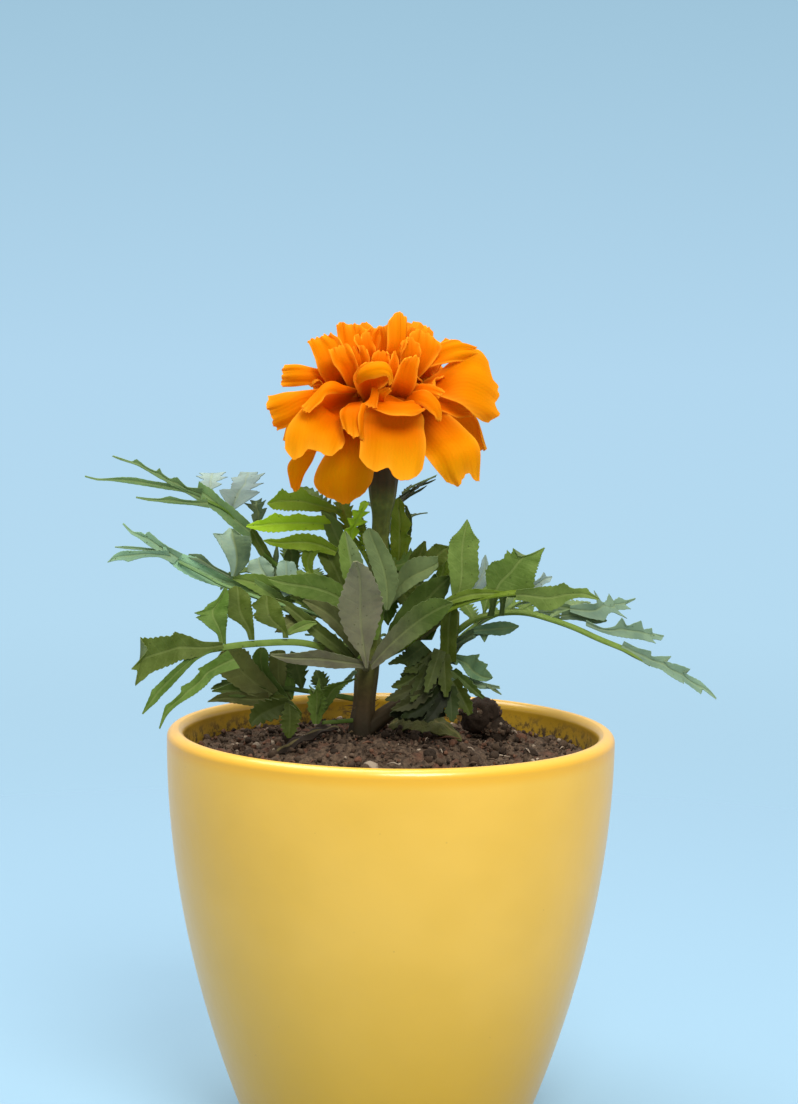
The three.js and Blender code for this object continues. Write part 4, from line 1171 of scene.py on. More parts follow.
# The traced blades, by the leaf that carries them.
BLADES = {
    "leaf_left_high": [
        traced("sea", (7, 8), (253, 541, 254, 527), (240, 534, 243, 516), (228, 524, 232, 506),
            (218, 514, 222, 499), (208, 507, 212, 489), (200, 501, 205, 485), (196, 497, 199, 481),
            tone_light_and_shade=1.2),
        traced("sea", (7.6, 7), (200, 502, 203, 488), (185, 492, 187, 487), (175, 487, 177, 477),
            (172, 486, 170, 478.5), (163, 480, 162, 473), (160, 479, 159.5, 468), (155, 476, 156, 471),
            (145, 470, 147, 467), (138, 466, 136.5, 459), (133, 464, 132, 461.5), (120, 460, 121, 458),
            (112, 456.5, 113, 455.5)),
        traced("sea", (7, 10), (200, 502, 200, 494), (185, 492.5, 180, 487), (165, 489.5, 166, 483),
            (150, 487, 150, 480.5), (135, 484.5, 136, 477.5), (122, 482.5, 122, 477), (110, 481, 110, 478),
            (97, 480.5, 98, 478.5), (85, 477, 85, 475.5)),
        traced("sea", (7, 5), (209, 508, 207, 498), (195, 505.5, 196, 500.5), (180, 504.5, 183, 499.5),
            (168, 503.5, 170, 496), (160, 502, 160, 498.5), (148, 501, 149, 498), (136, 498, 136, 496.5)),
        # These two pale fans are painted highlights.
        traced("pale", (12, 18), (208, 489, 212, 489), (200, 482, 222, 484), (204, 480, 216, 482),
            (196, 476, 228, 477), (203, 476, 220, 477), (199, 473, 226, 472), (212, 474, 218, 475)),
        traced("pale", (11, 18), (229, 507, 235, 509), (219, 490, 260, 492), (230, 489, 250, 490),
            (231, 484, 264, 483), (233, 482, 254, 485), (231, 478, 265, 473), (237, 477, 256, 479),
            (240, 472, 258, 472), (246, 473, 249, 474)),
        traced("slate", (14, 17), (254, 524, 262, 519), (251, 515, 267, 508), (254, 513, 262, 509),
            (244, 503, 266, 500), (253, 508, 261, 507), (250, 500, 262, 498), (256, 503, 258, 503)),
        traced("olive", (7, 5), (277, 585, 281, 578), (267, 566, 274, 560), (258, 553, 266, 545),
            (252, 541, 257, 531), (250, 531, 252, 527)),
    ],
    "leaf_left_mid": [
        traced("fern", (-7, -11), (290, 614, 294, 604), (270, 604, 276, 590), (250, 595, 250, 576),
            (238, 591, 236, 576), (225, 588.5, 228, 576), (212, 585, 218, 570), (200, 581, 207, 562),
            (190, 577, 196, 556.5), (178, 570, 184, 554), (170, 563, 172, 548.5), (163, 556, 163, 547),
            tone_light_and_shade=1.28, tip="mist"),
        traced("mist", (-11, -11), (174, 563, 183, 554), (160, 552.5, 171, 548), (150, 547, 160, 541),
            (146, 544, 149, 531.5), (143, 541.5, 145, 534.5), (138, 538, 141, 532), (131, 534, 133, 531.5),
            (122.5, 524, 123.5, 523), tone_light_and_shade=0.95),
        traced("mist", (-10.6, -9), (164, 553.5, 164, 550), (140, 550, 140, 547), (125, 549, 125, 546),
            (115, 547.5, 115, 546.5), tone_light_and_shade=0.8),
        traced("mist", (-11.4, -13), (174, 564, 168, 550), (160, 557.5, 156, 550.5),
            (145, 557.5, 143, 550.5), (136, 559.5, 134, 550.5), (128, 562, 127, 550.5),
            (124, 560.3, 120, 551.5), (116, 560.5, 114, 555), (107.5, 562.5, 108.5, 561.5), tone_light_and_shade=0.98),
        traced("slate", (-10, -10), (232, 579, 230, 574), (215, 571, 214, 566), (203, 565, 207, 559),
            (195, 561, 201, 554), (187, 557, 189, 554)),
        traced(("frost", "slate"), (-10.5, -7), (231, 576, 236, 576), (230, 566, 243, 569),
            (226, 556, 249, 561), (221, 547, 251, 548), (217, 540, 251.5, 541), (213, 533.5, 250, 536),
            (222, 534, 244, 537), (229, 528, 234, 529), saw=0.03, curl=2.2),
        traced("fern", (-6.5, -9.5), (296, 603, 296, 588), (275, 601, 278, 580), (260, 595, 262, 574),
            (248, 588, 246, 573.5), (233, 580, 233, 577), tone_light_and_shade=1.3),
        traced("frost", (-4, -2), (262, 579, 274, 577), (247, 571, 274, 568), (249, 561, 268, 561),
            (256, 559, 262, 556)),
        traced("frost", (-9, -8), (284, 597, 296, 593), (277, 585, 297, 580), (276, 571, 297, 569),
            (278, 562.5, 294, 562), (283, 560, 289, 562)),
    ],
    "leaf_left_low": [
        traced("olive", (-18, -20), (224, 648, 222, 642), (205, 655, 203, 641.5), (190, 659, 190, 636),
            (180, 661, 175, 631.5), (172, 665, 172, 635), (162, 669, 160, 636), (152, 673, 150, 637.5),
            (135.5, 686, 140.5, 637), (137, 678, 144, 643), (137, 671, 147.5, 650),
            (131.5, 669.5, 132.5, 668)),
        traced("moss", (-18, -21), (196, 650, 215, 650), (184, 660, 197, 660), (170, 672, 182, 675),
            (160, 682, 171, 687), (151.5, 690, 162, 696), (150.5, 694, 157, 702), (146, 704, 151, 707),
            (142, 713.5, 143, 714.5)),
        traced("moss", (-17, -22), (228, 650, 240, 668), (213, 660, 222, 673), (198, 668.5, 213, 678),
            (200, 671, 207, 685), (191, 681, 201, 690), (181, 686.5, 193, 696), (181, 692, 186, 700),
            (172, 701, 178, 705), (165.5, 705.5, 171, 711), (163, 713, 166, 717), (159, 728, 160, 729),
            tone_light_and_shade=1.2),
        traced("moss", (-16.5, -13), (219.5, 644, 226, 644), (217, 634, 226, 633), (209, 628, 227, 625),
            (202, 622, 228, 617), (195.5, 617.5, 228, 613), (200, 615.5, 228, 611), (194, 613, 228.5, 608),
            (202, 610.5, 229, 604), (208, 604, 229, 599), (217, 599, 229, 594), (224, 588, 227, 588)),
        traced("lime", (-15.5, -11.5), (249, 640, 254.5, 640), (246, 631, 254, 628), (238, 623, 253.5, 620),
            (228, 617, 253, 612), (226, 606, 252, 605), (226, 597, 251, 598), (228, 590, 248, 593),
            (234, 586, 240, 587), tone_light_and_shade=0.5),
        traced("lime", (-14, -10), (283, 638, 288.5, 638), (281.5, 630.5, 287, 629), (268, 626, 285.5, 623),
            (256, 620.5, 284.5, 617), (252.5, 615, 283, 612), (256, 611, 282, 609), (250.5, 605, 281, 606),
            (257, 600, 278, 601), (263, 595, 270, 596), tone_light_and_shade=0.5),
        traced("fern", (-13.5, -12), (286, 635, 290, 635), (288, 629, 297, 632.5), (295, 624, 306, 631),
            (304, 620, 313, 626), (316, 622, 317, 624)),
    ],
    "leaf_left_under": [
        traced("umber", (6, 3), (268, 698, 278, 690), (248, 695, 263, 672), (234, 686, 253, 660),
            (222, 677, 249, 651), (214, 668, 240, 647), (216, 660, 231, 648), (221, 652, 225, 650),
            tone_light_and_shade=1.4),
        traced("shade", (7, 6), (284, 699, 289, 700), (270, 692, 284, 690), (257, 680, 275, 678),
            (252, 664, 269, 667), (252, 656, 269, 655), (256, 650, 267, 650), (260, 647.5, 264, 647.5),
            tone_light_and_shade=1.7),
        traced("umber", (8, 8), (288, 699, 292, 700), (274, 684, 285, 686), (269, 670, 287, 674),
            (268.5, 658, 288, 660), (270, 652, 285, 651), (276, 650, 280, 650), tone_light_and_shade=1.4),
        traced("shade", (8, 9), (288, 699, 293, 699), (283, 682, 295.5, 686), (284, 672, 298.5, 672),
            (286, 664, 300, 664), (290, 660, 298, 660), tone_light_and_shade=2.8),
        traced("shade", (6, 5), (266, 695, 266, 688), (250, 696, 250, 683), (240, 698, 238, 682),
            (230, 697, 228, 684), (220, 692.5, 220, 687.5), (212, 692, 212, 690.5), tone_light_and_shade=1.2),
        traced("umber", (5, 4), (270, 705, 268, 692), (250, 706, 250, 693), (238, 704, 236, 691),
            (230, 703, 226, 692), (220, 702, 217, 695), (207.5, 702, 208.5, 701)),
        traced("olive", (7, 6), (262, 697, 262, 690), (278, 704, 283, 695), (292, 712, 293, 702),
            (301, 720, 302, 713)),
    ],
    "leaf_upper_left": [
        traced("lime", (9, 10), (342, 514, 342, 510), (330, 513, 331, 504), (316, 512, 318, 497),
            (305, 511.5, 311, 494.5), (297, 511.5, 301, 486.5), (288, 511.5, 290, 493),
            (280, 510.5, 282, 488), (273, 509.5, 275, 496), (267, 504, 268, 502), tone_light_and_shade=2.2, tip="lime",
            saw=0.11),
        traced("young", (5, 3), (344, 541, 345, 536), (330, 532, 333, 524), (322, 530, 324, 515),
            (310, 531, 311, 516), (297, 531, 298, 513), (284, 532, 286, 515.5), (273, 533, 275, 512.5),
            (263, 532, 264, 519), (255, 530, 257, 520.5), (246, 527, 247, 525), tone_light_and_shade=1.9, saw=0.11),
        traced("young", (2, 0), (335, 556, 338, 548), (319, 552, 320, 536), (308, 551.5, 308, 533),
            (296, 550, 296, 533.5), (285, 549, 286, 537), (276, 547, 277, 539), (270, 545, 271, 538.5),
            (263, 541, 264, 540), saw=0.11),
        traced("lime", (2, 3), (303, 550, 320, 550), (301, 558, 314, 560), (303, 566, 313, 568),
            (308, 573, 314, 573), (314, 578, 315, 578), tone_light_and_shade=1.3),
        traced("olive", (3, 4), (352, 612, 356, 610), (338, 592, 350, 588), (328, 576, 346, 568),
            (320, 562, 342, 556), (316, 550, 332, 547), (320, 540, 322, 540)),
        traced("fern", (4, 5), (344, 560, 352, 558), (336, 550, 350, 545), (328, 540, 345, 534),
            (324, 528, 340, 522), (322, 518, 330, 514), (321, 512, 322, 511)),
        traced("young", (0, -4), (347, 540, 353, 540), (344, 530, 360, 531), (350, 527, 356, 527),
            (347, 518, 368, 522), (353, 519, 361, 519), (352, 510, 370, 512), (358, 511, 364, 512),
            (360, 503, 369, 504), (364, 501, 366, 501), tone_light_and_shade=2.1),
        traced("slate", (6, 7), (276, 583, 280, 583), (274, 570, 277, 570), (273, 556, 279, 556),
            (276, 546, 278, 546)),
        traced("shade", (5, 6), (296, 586, 300, 584), (286, 570, 298, 566), (284, 556, 300, 552),
            (288, 547, 291, 546)),
    ],
    "leaf_front_high": [
        traced("ash", (-6, -8), (385, 610, 389, 610), (379, 592, 396, 594), (374, 576, 399, 581),
            (369, 562, 396.5, 568), (366, 552, 391.5, 555.5), (363, 541, 385, 544.5), (362.5, 534, 378, 533),
            (368, 528, 371, 528.5)),
        traced(("fern", "ash"), (-7, -10), (360, 606, 364, 606), (350, 592, 368, 590), (342, 576, 366, 574),
            (339, 560, 363, 560), (338, 546, 358, 548), (341, 536, 352, 539), (344, 531, 346, 531.5),
            tone_light_and_shade=1.2),
        traced("dull", (-8, -10), (358, 618, 360, 606), (340, 609, 346, 588), (322, 604, 331, 578),
            (308, 600, 314, 573), (294, 596, 298, 574), (281, 591, 285, 575), (268, 580, 269, 577)),
        traced("shade", (-6, -4), (356, 632, 360, 628), (338, 616, 348, 604), (322, 606, 334, 592),
            (306, 600, 316, 590), (298, 596, 300, 594)),
        traced("dull", (-4, -2), (372, 640, 378, 640), (366, 620, 384, 618), (364, 604, 386, 600),
            (368, 590, 384, 588), (376, 578, 378, 578)),
    ],
    "leaf_front": [
        traced("mauve", (-16, -27), (365, 668, 368, 668), (360, 655, 370, 652), (348, 640, 376, 634),
            (340, 622, 381, 618), (337, 605, 384, 603), (341, 592, 381, 592), (345, 579, 375, 578),
            (349, 569, 368, 567), (353, 562, 357, 561), saw=0.1, curl=-0.8),
        traced("mauve", (-15, -22), (367, 669, 367, 663), (352, 668, 350, 657), (335, 669, 334, 653),
            (318, 667, 318, 649.5), (300, 665, 302, 652), (286, 662.5, 290, 653.5), (270, 655.5, 270.5, 654),
            tone_light_and_shade=0.52),
        traced("mauve", (-15, -18), (372, 670, 370, 662), (384, 662, 378, 646), (397, 653, 388, 632),
            (411, 643, 401, 618), (425, 633, 414, 606), (438, 624, 430, 598), (447, 613, 441, 598),
            (453, 604, 452, 602), tone_light_and_shade=0.58, tip="dull"),
        traced("umber", (-13, -10), (357, 658, 361, 653), (344, 642, 353, 629), (330, 627, 342, 611),
            (316, 614, 327, 602), (302, 601, 305, 599), tone_light_and_shade=0.55),
        traced("olive", (-12, -9), (352, 663, 355, 659), (335, 653, 342, 641), (318, 641, 326, 628),
            (300, 625, 308, 614), (286, 610, 292, 603), (275, 600, 276, 598.5), tone_light_and_shade=0.75),
        traced("umber", (-11, -8), (356, 668, 359, 660), (342, 660, 348, 647), (330, 655, 336, 642),
            (320, 650, 325, 641), (311, 645, 313, 643), tone_light_and_shade=0.7),
    ],
    "leaf_right_high": [
        traced("fern", (-12.5, -12), (453, 602, 462, 600), (451, 588, 469, 593), (449, 574, 479, 579),
            (447, 560, 479, 566), (448, 550, 478.5, 553), (449, 542, 480, 541), (452, 537, 477.5, 538),
            (456, 533.5, 474.5, 534), (460, 529, 472, 529.5), (463.5, 524, 470, 524.5),
            (467, 519.5, 467.5, 519.5), middle=0.45),
        traced("dull", (-14, -13), (488, 596, 502, 597), (486, 580, 514, 596), (485, 570, 525, 595),
            (492, 562, 534, 592), (502, 559, 535, 580), (507, 550, 537, 572), (510, 558, 539, 566),
            (513, 548, 540, 562), (518, 556.5, 541, 559), (530, 554, 542, 554), (544, 547.5, 545, 548),
            middle=0.4),
        traced("fern", (-16, -18), (516, 600, 516, 590), (529, 602, 532, 588), (539, 610, 545, 586),
            (552, 611, 556, 585), (562, 606, 564, 582.5), (567, 601, 572, 588), (577, 598, 587, 588),
            (586, 598, 590, 592), (598, 600, 599, 598)),
        # The two pale blades are painted highlights.
        traced("pale", (-10, -8), (528, 585, 532, 592), (540, 578, 540, 588), (544, 572, 545, 584),
            (546, 576, 550, 582), (552, 576, 552, 578)),
        traced("pale", (-9, -8), (466, 592, 474, 596), (472, 580, 486, 586), (480, 568, 490, 572),
            (482, 560, 488, 562), (485, 555, 486, 555)),
        traced("lime", (-13.5, -14), (436, 612, 438, 604), (454, 604, 452, 595), (470, 600, 468, 589),
            (488, 597, 487, 589), (504, 597, 504, 591), (520, 598, 520, 591)),
        traced("shade", (-8, -7), (487, 616, 494, 616), (490, 606, 496, 606), (489, 598, 498, 597)),
        traced("shade", (-8, -7), (499, 616, 504, 616), (500, 606, 505, 606), (499, 597, 507, 596)),
    ],
    "leaf_right_long": [
        traced("steel", (-3, -5), (620, 650, 624, 641), (634, 658, 638, 648), (644, 663, 651, 651),
            (652, 667, 651.5, 656), (661, 670, 671.5, 656), (668, 675, 664, 660.5), (676, 680, 677, 664),
            (684, 684, 690.5, 669), (682, 681, 683, 671.5), (692, 688, 693, 677), (701, 694.5, 700, 680.5),
            (702, 689, 706, 686), (710, 695, 711, 691), (716, 699.5, 716.5, 698), tone_light_and_shade=1.25),
        traced("steel", (0, 6), (570, 612, 570, 606), (588, 618, 583, 603.5), (604, 621, 597, 603),
            (608, 615, 594, 590.5), (613, 612.5, 601, 602), (627, 618.5, 606, 600.5), (615, 612, 609, 593.5),
            (618, 610.5, 613, 600.5), (631, 609, 619, 597), (622, 607, 626, 600), (635, 599.5, 635.5, 598)),
        traced("steel", (-2, 2), (586, 626, 586, 620), (603, 633, 603, 628), (614, 636, 615, 626),
            (622, 637.5, 622, 617.5), (632, 639, 627, 625.5), (641, 640, 641, 620.5), (656, 643.5, 642, 629),
            (648, 638.5, 652, 628), (661, 640.5, 650, 632), (663, 637, 664, 635.5)),
        traced("slate", (1, 3), (560, 620, 562, 612), (574, 620, 576, 608), (586, 622, 588, 612),
            (596, 624, 600, 616), (606, 622, 607, 620)),
        traced("slate", (1, 4), (538, 612, 540, 600), (552, 612, 554, 600), (566, 612, 568, 604),
            (578, 610, 579, 608)),
    ],
    "leaf_right_small": [
        traced("bottle", (-4, -6), (474, 634, 474, 627), (490, 635, 487, 623.5), (500, 636, 500, 621),
            (510, 633.5, 510, 622), (518.5, 627, 519, 625.5), tone_light_and_shade=1.25),
        traced("bottle", (-3, -4), (478, 634, 491, 633), (481, 637, 488, 636), (484, 642, 485, 642),
            tone_light_and_shade=1.2),
        traced("slate", (1, -4), (455, 656, 454, 640), (462, 646, 460, 636), (470, 640, 468, 630),
            (480, 635, 479, 627), (488, 633, 488, 627)),
    ],
    "leaf_right_hanging": [
        traced("bottle", (-1, -7), (454, 660, 455, 654), (460, 664, 465, 655.5), (464, 670, 479.5, 654),
            (468, 676, 478, 659), (473, 679.5, 488, 664), (479, 681, 486, 668), (486, 681.5, 489.5, 672),
            (491, 679, 493, 677.5), tone_light_and_shade=1.2, middle=0.3),
        traced("steel", (0, -9), (448, 684, 448, 668), (461, 684, 461, 673), (472, 686, 471, 678),
            (480, 689, 482, 682), (490, 689, 490, 684), (500, 689, 499, 686)),
        traced("slate", (-7, -9), (486, 686, 489, 684), (493, 691, 495, 688), (501, 695, 501.5, 694)),
    ],
    # These low leaves are painted dark, with dark tints and low tones, for the shade of the leaves above
    # them.
    "leaf_right_under": [
        traced("shade", (-6, -9), (420, 640, 430, 650), (408, 644, 420, 662), (402, 652, 410, 668),
            (396, 657, 403, 664), (388, 663, 389, 665), tone_light_and_shade=0.6, saw=COARSE),
        traced("olive", (-5, -9), (428, 648, 436, 656), (416, 655, 427, 668), (406, 664, 416, 674),
            (403, 671, 405, 673), tone_light_and_shade=0.45, saw=COARSE),
        traced("olive", (-5, -10), (430, 656, 438, 664), (418, 664, 428, 676), (405, 674, 416, 687),
            (396, 681, 404, 690), (391, 686, 393, 688), tone_light_and_shade=0.4, saw=COARSE),
        traced("umber", (-6, -11), (432, 666, 440, 674), (418, 676, 428, 688), (402, 686, 410, 698),
            (390, 694, 395, 702), (385, 699, 386, 701), tone_light_and_shade=0.3, saw=COARSE),
        traced("umber", (-7, -12), (436, 674, 443, 680), (422, 686, 432, 697), (406, 696, 416, 709),
            (396, 704, 402, 712), (391, 709, 393, 711), tone_light_and_shade=0.22, saw=COARSE),
        traced("night", (-6, -10), (440, 688, 446, 716), (425, 693, 430, 720), (410, 699, 412, 722),
            (398, 706, 399, 720), (390, 713, 390, 716), tone_light_and_shade=0.2, saw=COARSE),
        traced("shade", (-8, -12), (440, 682, 448, 688), (428, 694, 438, 706), (414, 704, 422, 717),
            (404, 712, 408, 719), (401, 716, 402, 718), tone_light_and_shade=0.15, saw=COARSE),
        traced("night", (-8, -12), (442, 688, 452, 690), (434, 700, 447, 706), (427, 712, 438, 718),
            (423, 720, 428, 723), tone_light_and_shade=0.25, saw=COARSE),
        traced("shade", (-7, -11), (445, 686, 456, 686), (442, 700, 460, 700), (444, 712, 459, 714),
            (450, 721, 454, 722), tone_light_and_shade=0.4, saw=COARSE),
        traced("backlit", (-5, -9), (448, 684, 458, 678), (454, 698, 468, 690), (460, 709, 473, 703),
            (468, 716, 473, 713), tone_light_and_shade=0.38, saw=COARSE),
        traced("moss", (-4, -7), (449, 674, 456, 668), (460, 684, 468, 677), (470, 693, 477, 686),
            (482, 699, 485, 697), tone_light_and_shade=0.45, saw=COARSE),
        traced("olive", (-7, -12), (434, 648, 446, 652), (428, 664, 442, 668), (424, 678, 436, 684),
            (424, 692, 428, 693), tone_light_and_shade=0.42, saw=COARSE),
        traced("backlit", (-6, -10), (439, 654, 450, 654), (436, 668, 453, 668), (438, 684, 453, 684),
            (444, 697, 448, 697), tone_light_and_shade=0.42, saw=COARSE),
        traced("olive", (-7, -11), (424, 664, 432, 668), (414, 678, 426, 684), (410, 692, 420, 696),
            (410, 702, 413, 702), tone_light_and_shade=0.3, saw=COARSE),
        traced("backlit", (-3, -5), (440, 662, 456, 662), (440, 645, 457, 645), (440, 630, 457, 630),
            (441, 616, 458, 616), (446, 606, 458, 606), tone_light_and_shade=0.8),
    ],
    "leaf_centre_right": [
        traced("backlit", (5, 3), (395, 575, 403, 575), (391, 558, 405, 562), (390, 545, 412, 538),
            (390, 532, 407, 534), (391, 520, 412, 524), (391, 509, 405, 513), (392, 502, 405, 505),
            (397, 498, 400, 498), tone_light_and_shade=1.9),
        traced("shade", (7, 8), (400, 548, 406, 552), (404, 536, 410, 540), (403, 524, 412, 530),
            (405, 512, 412, 518), (405, 505, 407, 506)),
        traced("olive", (4, 2), (404, 572, 412, 574), (408, 560, 425, 566), (414, 550, 427, 556),
            (424, 541, 426, 541.5)),
        traced("olive", (3, 1), (414, 574, 420, 578), (423, 556, 438, 570), (432, 546, 446, 562),
            (436, 543.5, 450, 556), (448, 546, 450, 548)),
        traced("ash", (-1, -6), (386, 612, 388, 604), (395, 601, 397, 574), (406, 592, 408, 560),
            (417, 584, 420, 556), (428, 578, 431, 556), (438, 567, 438, 556), middle=0.4),
        traced("dull", (-3, -8), (382, 648, 388, 652), (390, 624, 408, 640), (404, 602, 426, 624),
            (418, 586, 440, 608), (432, 578, 448, 592), (450, 575, 452, 577), tone_light_and_shade=0.5),
        traced("moss", (2, -2), (420, 640, 432, 640), (416, 620, 440, 622), (418, 600, 444, 604),
            (424, 586, 444, 590), (434, 574, 436, 574), tone_light_and_shade=0.6),
        traced("lime", (6, 4), (426, 590, 432, 596), (434, 580, 446, 588), (438, 566, 450, 574),
            (442, 556, 448, 560), (444, 550, 446, 550)),
        traced("umber", (0, 1), (386, 652, 392, 656), (398, 636, 410, 648), (412, 624, 428, 636),
            (426, 612, 444, 622), (442, 602, 444, 604), tone_light_and_shade=0.6),
        traced("moss", (3, 4), (380, 600, 388, 602), (378, 584, 392, 586), (380, 570, 394, 572),
            (384, 552, 392, 556), (386, 534, 388, 534)),
    ],
    "leaf_back_high": [
        traced("night", (20, 32), (398, 504, 399, 505.5), (406, 497, 407.2, 498.8), (412, 493.2, 413, 495.2),
            (420, 488.8, 421, 490.8), (426.6, 485.4, 427, 486), tone_light_and_shade=0.9, saw=0.02),
        traced("night", (20, 33), (396, 499, 397, 500.5), (405, 492.6, 405.8, 494.2),
            (415.4, 486.6, 416, 488.2), (428.6, 481.8, 429, 483.2), (435.2, 479.2, 435.5, 480), tone_light_and_shade=0.9,
            saw=0.02),
        traced("sea", (22, 32), (402, 492, 403, 493.2), (412, 485.6, 412.8, 487), (420, 481.8, 420.6, 483.2),
            (428.6, 478.2, 429.2, 479.4), (437, 474.6, 437.2, 475.2), tone_light_and_shade=0.7, saw=0.02),
    ],
    "leaf_basal": [
        traced("olive", (-3, -5), (294, 704, 286, 698), (290, 713, 272, 698), (278, 720, 258, 700),
            (264, 724, 250, 709), (252, 727, 249, 721), tone_light_and_shade=0.38, saw=COARSE),
        traced("olive", (-4, -5), (286, 702, 293, 706), (281, 713, 300, 713), (279, 723, 301, 722),
            (282, 732, 297, 731), (287, 738, 291, 738), tone_light_and_shade=0.58, saw=COARSE),
        traced("dull", (-3, -4), (313, 724, 319, 724), (307, 709, 326, 711), (307, 696, 328, 703),
            (309, 685, 325, 694), (313, 694, 321, 690), (319, 678, 320, 679), tone_light_and_shade=1.1, saw=COARSE),
        traced("dull", (-3, -4), (317, 714, 322, 716), (320, 699, 333, 702), (321, 690, 341, 692),
            (328, 684, 344, 688), (337, 682.5, 348, 684), (356, 678, 356.5, 679), tone_light_and_shade=0.75, saw=COARSE),
        traced("slate", (-2, -3), (318, 702, 326, 700), (326, 695, 336, 691), (336, 689, 346, 684),
            (345, 679, 358, 672), (352, 672, 354, 670), tone_light_and_shade=1.3, saw=COARSE),
    ],
}

# Leaves on the far side, by rule: where each leaves the stem, its heading and rise in degrees, its length,
# and its pairs of leaflets with their length and width.
FEATHERS = {
    "leaf_back_left": {
        "from": (-5.2, 1, 112), "heading": 128, "rise": 34, "length": 50,
        "pairs": 4, "size": 15, "width": 6,
    },
    "leaf_back_right": {
        "from": (12, 2.2, 109), "heading": 58, "rise": 30, "length": 46,
        "pairs": 4, "size": 14, "width": 5.5,
    },
    "leaf_back": {
        "from": (-6.3, 1.6, 99.5), "heading": 98, "rise": 30, "length": 42,
        "pairs": 3, "size": 14, "width": 6,
    },
}
FEATHER = {"droop": 46, "steps": 6, "first": 0.34, "last": 0.95, "spread": 48, "lift": 14, "rib": (1.9, 1.2)}
LEAFLET_SEEDS, BLADE_SEEDS = 31, 17  # how far apart the seeds of two leaves lie


def feather(plan, number):
    """Works out the path and leaflets of an even, arching leaf."""
    heading = math.radians(plan["heading"])
    flat = vec(math.cos(heading), math.sin(heading), 0)

    def forward(share):
        e = math.radians(plan["rise"] - FEATHER["droop"] * share)
        return flat * math.cos(e) + vec(0, 0, math.sin(e))

    path, steps = [vec(*plan["from"])], FEATHER["steps"]
    for k in range(steps):
        path.append(path[-1] + forward((k + 0.5) / steps) * plan["length"] / steps)
    way = Path(path)
    leaflets = [(1, path[-1] + forward(1) * plan["size"], plan["width"], "saw")]
    for i in range(2 * plan["pairs"]):
        s = FEATHER["first"] + (FEATHER["last"] - FEATHER["first"]) * (i // 2) / (plan["pairs"] - 1)
        hand = 1 if i % 2 else -1
        spread = math.radians(FEATHER["spread"] + 6 * jitter(number, i))
        side = unit(vec(hand * flat[1], -hand * flat[0], math.sin(math.radians(FEATHER["lift"]))))
        reach = plan["size"] * (1 - 0.3 * (2 * s - 1) ** 2) * (1 + 0.12 * jitter(number + 9, i))
        tip = way.at(s) + forward(s) * reach * math.cos(spread) + side * reach * math.sin(spread)
        leaflets.append((s, tip, plan["width"], "broad" if i % 3 else "saw"))
    return {"face": (0, 0, 1), "rib": FEATHER["rib"], "tint": "dull", "path": path, "leaflets": leaflets}


def make_leaf(name, leaf, number, look):
    """Makes a leaf of its midrib, its leaflets by form and those traced from the picture."""
    shape = Shape()
    path = Path(leaf["path"])
    rib(shape, path, leaf["face"], leaf["rib"], leaf["tint"])
    for i, (share, tip, width, form, *tint) in enumerate(leaf["leaflets"]):
        root = path.at(min(share, NEAR_END))
        seed = number * LEAFLET_SEEDS + i
        leaflet(shape, root, tip, width, leaf["face"], form, (*tint, leaf["tint"])[0], seed)
    for i, plan in enumerate(BLADES.get(name, ())):
        blade(shape, plan, number * BLADE_SEEDS + i)
    piece(name.replace("leaf_", "") + "_leaf", name, shape, look)


# ---------------------------------------------------------------- bloom

# Widths along a petal, as (share of the length, share of the full width).
WIDTHS = ((0, 0.3), (0.22, 0.55), (0.45, 0.84), (0.68, 1), (0.87, 0.99), (1, 0.9))
CREST_WIDTHS = ((0, 0.35), (0.45, 0.72), (0.8, 1), (1, 0.88))
# Petals on the far side and at the flanks: path from heart to tip, width, and the way the middle faces.
PETALS = [
    ([(0, 3, 164), (14, 10, 167), (20, 14, 157)], 13, (0.5, 0.4, 0.8)),
    ([(-1, 4, 164), (4, 17, 168), (6, 21, 156)], 14, (0.1, 0.6, 0.8)),
    ([(-5, 4, 164), (-11, 17, 167), (-14, 20, 155)], 14, (-0.2, 0.6, 0.8)),
    ([(-8, 3, 165), (-20, 10, 168), (-25, 12, 158)], 12, (-0.5, 0.4, 0.8)),
]
